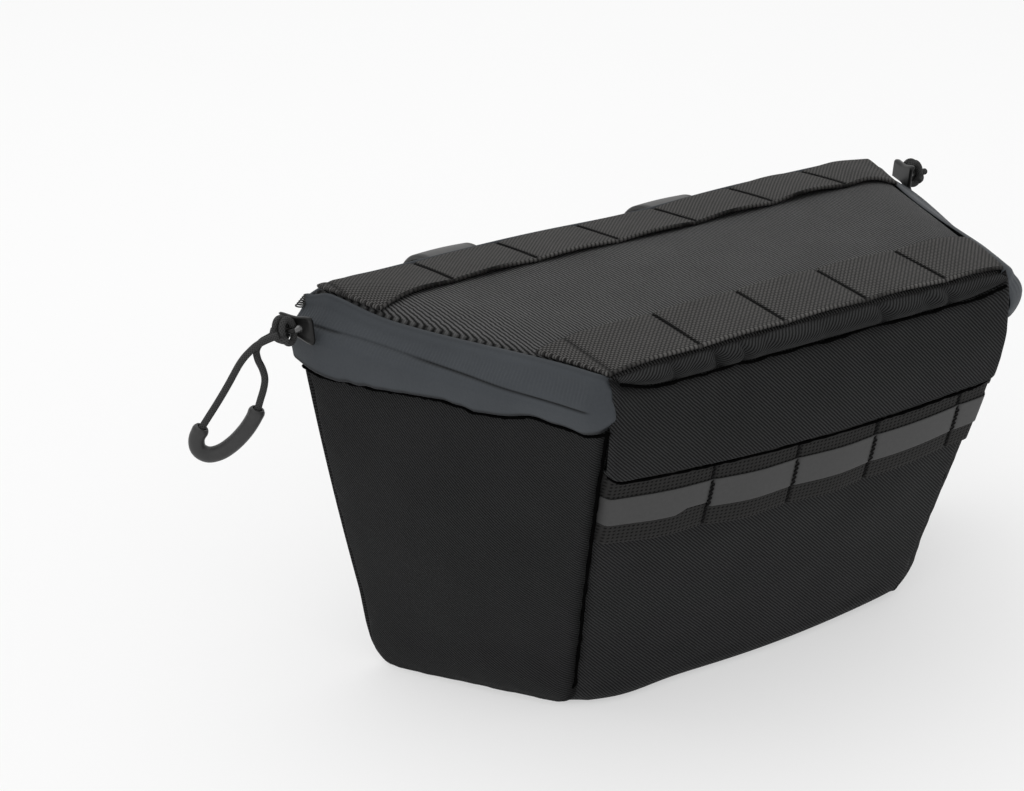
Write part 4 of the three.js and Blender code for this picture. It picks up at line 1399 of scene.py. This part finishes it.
def make_tape():
    end_columns, back_columns, rows = 130, 120, 72
    v = np.linspace(0, 1, rows)[:, None]
    along = np.linspace(0, 1, end_columns)
    along = bunched(along, 0.5)[None, :]
    sections = {}
    for hand in (-1, 1):
        y_lid = lerp(TAPE_START, LID_BACK_Y, along)
        dip = TAPE_CORNER_DIP * smooth((y_lid - LID_BACK_Y + TAPE_DIP_REACH) / TAPE_DIP_REACH)
        edge = lid_top(hand * lid_half(y_lid), y_lid) - dip
        tip = tape_tip(y_lid)
        calm = clamp((LID_BACK_Y - y_lid) / TAPE_CALM_REACH)
        edge = edge - TAPE_TIP_DROP * tip**3
        foot = tape_hem(y_lid, hand)
        sections[hand] = []
        for lift in (TAPE_THICKNESS, 0.0):
            z, share = tape_row(v, edge, lid_side_dip(y_lid), foot)
            corner = wall_y("back", z) - CORNER_EASE_Y
            y_body = lerp(TAPE_START, corner, along)
            slit = bump_at(z, slit_height(y_lid), SLIT_WIDTH)
            open_slit = smooth((y_lid - SLIT_START) / 3) * smooth((SLIT_STOP - y_lid) / 3)
            groove = slit * open_slit * (SLIT_DEPTH if lift else 0)
            loose = loose_cloth(y_lid, z, TAPE_LOOSE) * np.sin(math.pi * v) * calm
            lip = (TAPE_LIP if lift else 0) * bump_at(v, 0.1, 0.07)
            size, fade = (TAPE_BULGE_LEFT, 2) if hand < 0 else (TAPE_BULGE_RIGHT, 8)
            bulge = size * (1 - along**fade) * np.sin(math.pi * v) ** 0.8 * (1 - tip**2)
            tuck = TAPE_TUCK * tip**2
            x_body = end_x(y_body, z) + end_swell(y_body, z) + (TAPE_GAP + lift) * END_SLANT
            x = lerp(x_body, lid_half(y_lid) + TAPE_GAP + lift, share)
            x = x + bulge + loose + lip - groove - tuck
            rounded = TAPE_TIP_ROUNDING * np.abs(2 * v - 1) ** 5 * tip**2
            y = lerp(y_body, y_lid, share) + (TAPE_GAP + lift) * clamp(along * 12 - 11) + rounded
            sections[hand].append(leant(hand * x, y, z))
            if lift:
                # Painted shade in the closed zip's line, stronger towards the front and at the back
                # corner, and along the tape's lower edge, fainter along its upper edge.
                strength = 0.25 + 0.75 * smooth((72 - y_lid) / 12) + 0.6 * smooth((y_lid - 93) / 4)
                rim_shade = 0.8 * bump_at(v, 1, 0.03) + 0.2 * bump_at(v, 0, 0.02)
                sections[hand].append(clamp(slit * open_slit * strength + rim_shade))
    side = np.sin((np.linspace(0, 1, back_columns + 2)[1:-1] - 0.5) * math.pi)[None, :]
    x_lid = side * lid_half(LID_BACK_Y)
    climb = clamp(1 - (lid_half(LID_BACK_Y) - np.abs(x_lid)) / TAPE_CORNER_REACH)
    foot = TAPE_BACK_FOOT + TAPE_CORNER_RISE * climb**2
    back = []
    edge = lid_top(x_lid, LID_BACK_Y) - TAPE_CORNER_DIP * climb**2
    for lift in (TAPE_THICKNESS, 0.0):
        z, share = tape_row(v, edge, 0, foot)
        half = end_x(wall_y("back", z) - CORNER_EASE_Y, z)
        body = wall_y("back", z) - back_ease(side * half, half) + TAPE_GAP + lift
        x = lerp(side * half, x_lid, share)
        y = lerp(body, LID_BACK_Y + TAPE_GAP + lift, share)
        back.append(leant(x, y, z))
    left, right = sections[-1], sections[1]
    top = np.concatenate([left[0], back[0], right[0][:, ::-1]], axis=1)
    bottom = np.concatenate([left[2], back[1], right[2][:, ::-1]], axis=1)
    painted_shade = np.concatenate([left[1], np.zeros_like(back[0][..., 0]), right[1][:, ::-1]], axis=1)
    run = run_along(top[0])
    uv = flat_place(run[None, :], v * 20)
    shell("tape_cloth", "zip_tape", top, bottom, uv, TAPE, "zip_tape", painted_shade, 4, 1.0)


make_tape()


def placed(points, hand, lift=0.0):
    """Points given along the zip, up and outwards from one slider."""
    along, up, out, origin = slider_frame(hand)
    points = np.asarray(points, float)
    return origin + points[..., :1] * along + points[..., 1:2] * up + (points[..., 2:] + lift) * out


def make_slider(side_name, hand):
    u, v = np.meshgrid(np.linspace(-1, 1, 30), np.linspace(-1, 1, 16))
    length = u * (SLIDER_LENGTH / 2 - 0.5)
    waist = SLIDER_WAIST / SLIDER_WIDTH
    narrow = lerp(1, waist, smooth((u + 1) / 2)) * (1 - 0.18 * np.cos(u * math.pi / 2) ** 2)
    height = v * (SLIDER_WIDTH / 2 - 0.2) * narrow
    dish = 0.5 * (1 - v**2) * np.cos(u * math.pi / 2)
    curl = 0.5 * np.abs(v) ** 6
    top = placed(np.stack([length, height, SLIDER_THICKNESS - 0.9 + dish + curl], axis=-1), hand)
    bottom = placed(np.stack([length, height, 0 * u], axis=-1), hand)
    uv = flat_place(length, height)
    verts, faces, uvs, _ = shell_part(top, bottom, uv)
    parts = [(verts, faces, uvs)]
    bail = [
        (-BAIL_SPAN / 2, 0, 0.8),
        (-BAIL_SPAN / 2, 0, SLIDER_THICKNESS + BAIL_RISE * 0.6),
        (0, 0, SLIDER_THICKNESS + BAIL_RISE),
        (BAIL_SPAN / 2, 0, SLIDER_THICKNESS + BAIL_RISE * 0.6),
        (BAIL_SPAN / 2, 0, 0.8),
    ]
    wire = smooth_path(placed(np.array(bail) + [BAIL_OFFSET, 0, 0], hand), 28)
    parts.append(tube_part(wire, BAIL_WIRE / 2, 12))
    piece = joined_piece("slider_" + side_name, parts, METAL)
    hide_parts("zip_slider_" + side_name)
    pin = smooth_path(placed([(-1.6, 0, 1.2), (-1.6, 0, 2.4), (-1.4, 0, 3.6)], hand), 10)
    verts, faces, uv = tube_part(pin, np.linspace(1.5, 0.7, 10), 16)
    mesh_piece("slider_pin_" + side_name, verts, faces, BRIGHT_METAL, uv)


def make_coil_end():
    """The last teeth of the zip's coil, loose at the lid's back left corner."""
    parts = []
    turns = np.linspace(0, 2 * math.pi, 15)[:-1]
    outwards = np.array([-math.cos(LEFT_PULL_TURN), math.sin(LEFT_PULL_TURN), 0])
    lift = np.array([0, 0, 1])
    for share in np.linspace(0, 1, COIL_TEETH):
        middle = lerp(np.array(COIL_FROM), np.array(COIL_TO), share)
        slope = lift * 0.9 + outwards * 0.4
        loop = [middle + outwards * 1.2 * np.cos(t) + slope * 0.5 * np.sin(t) for t in turns]
        parts.append(closed_loop_part(np.array(loop), 0.26, 8))
    joined_piece("coil_end_left", parts, GRIP)


def make_strap(side_name, x, sink):
    """A strap that runs up the back panel, round the bar and back on to itself."""
    inner = BAR_DIAMETER / 2 + BAR_CLEARANCE
    outer = inner + STRAP_THICKNESS
    slant = math.atan2(BACK_LEAN, BODY_TOP)
    n = np.array([math.cos(slant), -math.sin(slant)])
    down = np.array([-math.sin(slant), -math.cos(slant)])
    contact = np.array([wall_y("back", STRAP_RING_HEIGHT), STRAP_RING_HEIGHT])
    centre = contact + n * (outer + STRAP_STANDOFF)
    tilt = -math.asin((STRAP_STANDOFF - STRAP_GAP) / STRAP_PATCH_LENGTH)
    turn = np.array([[math.cos(tilt), -math.sin(tilt)], [math.sin(tilt), math.cos(tilt)]])
    n, down = turn @ n, turn @ down
    middle = (inner + outer) / 2
    start = math.atan2(-n[1], -n[0])
    foot = [centre - n * middle + down * t for t in np.linspace(STRAP_PATCH_LENGTH - 1, 1, 30)]
    ring = [
        centre + middle * np.array([math.cos(a), math.sin(a)])
        for a in np.linspace(start, start - math.radians(325), 110)
    ]
    line = np.array([*foot, *ring])
    along = unit(np.gradient(line, axis=0))
    out = np.stack([-along[:, 1], along[:, 0]], axis=1)
    if (out[60] * (line[60] - centre)).sum() < 0:
        out = -out
    half = STRAP_THICKNESS / 2 - 0.1
    across = np.linspace(-STRAP_WIDTH / 2 + 0.6, STRAP_WIDTH / 2 - 0.6, 22)
    grids = []
    for side in (half, -half):
        crown = 0.35 * np.cos(across / STRAP_WIDTH * math.pi)[None, :] * (1 if side > 0 else 0.6)
        away = out[:, None] * (side + crown[..., None] - 0.2)
        place = line[:, None] + away
        xs = np.broadcast_to(x + across[None, :], place.shape[:2])
        sunk = place[..., 1] - sink * smooth((place[..., 1] - STRAP_RING_HEIGHT) / STRAP_WIDTH)
        grids.append(np.stack([xs, place[..., 0], sunk], axis=-1))
    run = np.arange(len(line))[:, None] * 0.9
    uv = flat_place(run, across[None, :])
    # Painted shade along both edges of the strap.
    painted_shade = np.broadcast_to(0.8 * (np.abs(across) > STRAP_WIDTH / 2 - 1.6)[None, :], uv.shape[:2])
    name, node = "strap_" + side_name, "handlebar_strap_" + side_name
    shell(name, node, *grids, uv, STRAP, "strap", painted_shade, 4, 0.9)


def make_tab():
    """A folded ribbon sewn into the right front seam."""
    u, v = np.meshgrid(np.linspace(0, 1, 14), np.linspace(0, 1, 26))
    grids = []
    for lift in (TAB_THICKNESS, 0.0):
        z = TAB_HEIGHT + (v - 0.5) * (TAB_LENGTH - 0.8)
        y = wall_y("front", z) + SEAM_GAP + 0.4 + u * (TAB_REACH - 0.8)
        loose = 0.6 * np.sin(math.pi * v) * u
        x = end_x(y, z) + end_swell(y, z) + WEBBING_GAP + lift + loose
        grids.append(leant(x, y, z))
    uv = flat_place(v * TAB_LENGTH, u * TAB_REACH)
    shell("tab_ribbon", "side_tab", *grids, uv, RIBBON, "ribbon")


for side_name, side_hand, strap_x, strap_sink in (
    ("left", -1, STRAP_LEFT_X, STRAP_LEFT_SINK),
    ("right", 1, STRAP_RIGHT_X, STRAP_RIGHT_SINK),
):
    make_slider(side_name, side_hand)
    make_strap(side_name, strap_x, strap_sink)
make_tab()
make_coil_end()


# Seams: painted shadow, near-black tubes laid in the deep lines where two cloths meet


def seam_shadow_part(points, radius, seed):
    """A near-black tube of painted shadow along a seam, which wanders and swells a little."""
    points = np.asarray(points, float)
    path = smooth_path(points, max(24, int(len(points) * 3)))
    steps = np.arange(len(path), dtype=float)
    stray = np.stack([noise(steps, 0 * steps, 5, seed + k) for k in range(3)], axis=1)
    swell = 1 + 0.3 * noise(steps, 0 * steps, 3, seed)
    return tube_part(path + SEAM_STRAY * stray, radius * swell, 8)


def front_seam_part(hand):
    """Painted shadow along the front seam from the tape's end down to the foot, sunk deeper on the right.
    """
    s = np.arange(SEAM_START, SLOPE_LENGTH - FRONT_FOOT_RADIUS, 2.0)
    y, z = s * SLOPE_Y, BODY_TOP - s * SLOPE_Z
    sunk = SEAM_SUNK_LEFT if hand < 0 else SEAM_SUNK_RIGHT
    x = hand * (end_x(y, z) - sunk)
    points = front_point(x, s, -0.15 - sunk)
    stop = np.array([hand * (FRONT_BOTTOM_HALF + 1 - sunk), FRONT_LEAN + 4.5, -0.6])
    foot = lerp(points[-1], stop, np.array([[0.55], [1]]))
    return seam_shadow_part(settled(np.concatenate([points, foot])), 0.5, 61 + hand)


def roll_seam_part():
    """Painted shadow along the seam under the roll."""
    x = np.arange(-ROLL_HALF - 3, ROLL_HALF + 1.5, 1.5)
    wavy = 0.55 * noise(x, 0 * x, 6, 64) - 1.8 * smooth((-x - 58) / 12)
    return seam_shadow_part(settled(front_point(x, 0.6 - front_rise(x) + wavy, 0.15)), 0.45, 65)


def pouch_seam_part():
    """Painted shadow in the slot under the upper front panel's fold."""
    x = np.arange(-FRONT_TOP_HALF + 4, FRONT_TOP_HALF - 3.5, 1.5)
    s = pouch_edge(x, STRIP_TOP + 0 * x) + 0.35
    half = front_half(s)
    x = np.clip(x, 0.4 - half, half - 0.4)
    sunk = 1.4 * bump_at(half, np.abs(x), 3)
    return seam_shadow_part(settled(front_point(x, s, front_fullness(x, s) + 2.5 - sunk)), 0.42, 68)


def tape_seam_part(hand):
    """The shadow line under the tape's hem."""
    y = np.arange(TAPE_TIP_Y + 2, LID_BACK_Y - 4, 1.2)
    z = tape_hem(y, hand) - 1.25
    x = hand * (end_x(y, z) + end_swell(y, z) + 0.75)
    return seam_shadow_part(settled(np.stack([x, y, z], axis=1)), 0.45, 71 + hand)


# One piece of painted shadow tubes along the seams, the fold's slot and under the tape's hem.
joined_piece(
    "painted_seam_shadows",
    [
        front_seam_part(-1),
        front_seam_part(1),
        roll_seam_part(),
        pouch_seam_part(),
        tape_seam_part(-1),
    ],
    SEAM_SHADOW,
)


# Floor and light


def make_stage():
    mesh = bpy.data.meshes.new("floor")
    corners = [(x * FLOOR_HALF, y * FLOOR_HALF, 0) for x, y in ((-1, -1), (1, -1), (1, 1), (-1, 1))]
    mesh.from_pydata(corners, [], [(0, 1, 2, 3)])
    floor = bpy.data.objects.new("floor", mesh)
    shader = FLOOR.node_tree.nodes["Principled BSDF"]
    shader.inputs["Emission Color"].default_value = (1, 1, 1, 1)
    shader.inputs["Emission Strength"].default_value = FLOOR_GLOW
    mesh.materials.append(FLOOR)
    bpy.context.collection.objects.link(floor)
    world = bpy.data.worlds.new("studio")
    bpy.context.scene.world = world
    bpy.context.scene.view_settings.view_transform = "Standard"
    world.use_nodes = True
    back = world.node_tree.nodes["Background"]
    back.inputs[0].default_value = (1, 1, 1, 1)
    back.inputs[1].default_value = WORLD_STRENGTH
    for name, place, size, power in LAMPS:
        data = bpy.data.lights.new(name, "AREA")
        data.shape = "DISK"
        data.size = size
        data.energy = power
        lamp = bpy.data.objects.new(name, data)
        bpy.context.collection.objects.link(lamp)
        lamp.location = place
        lamp.rotation_mode = "QUATERNION"
        lamp.rotation_quaternion = (Vector(place) - Vector(LIGHT_AIM)).to_track_quat("Z", "Y")


make_stage()
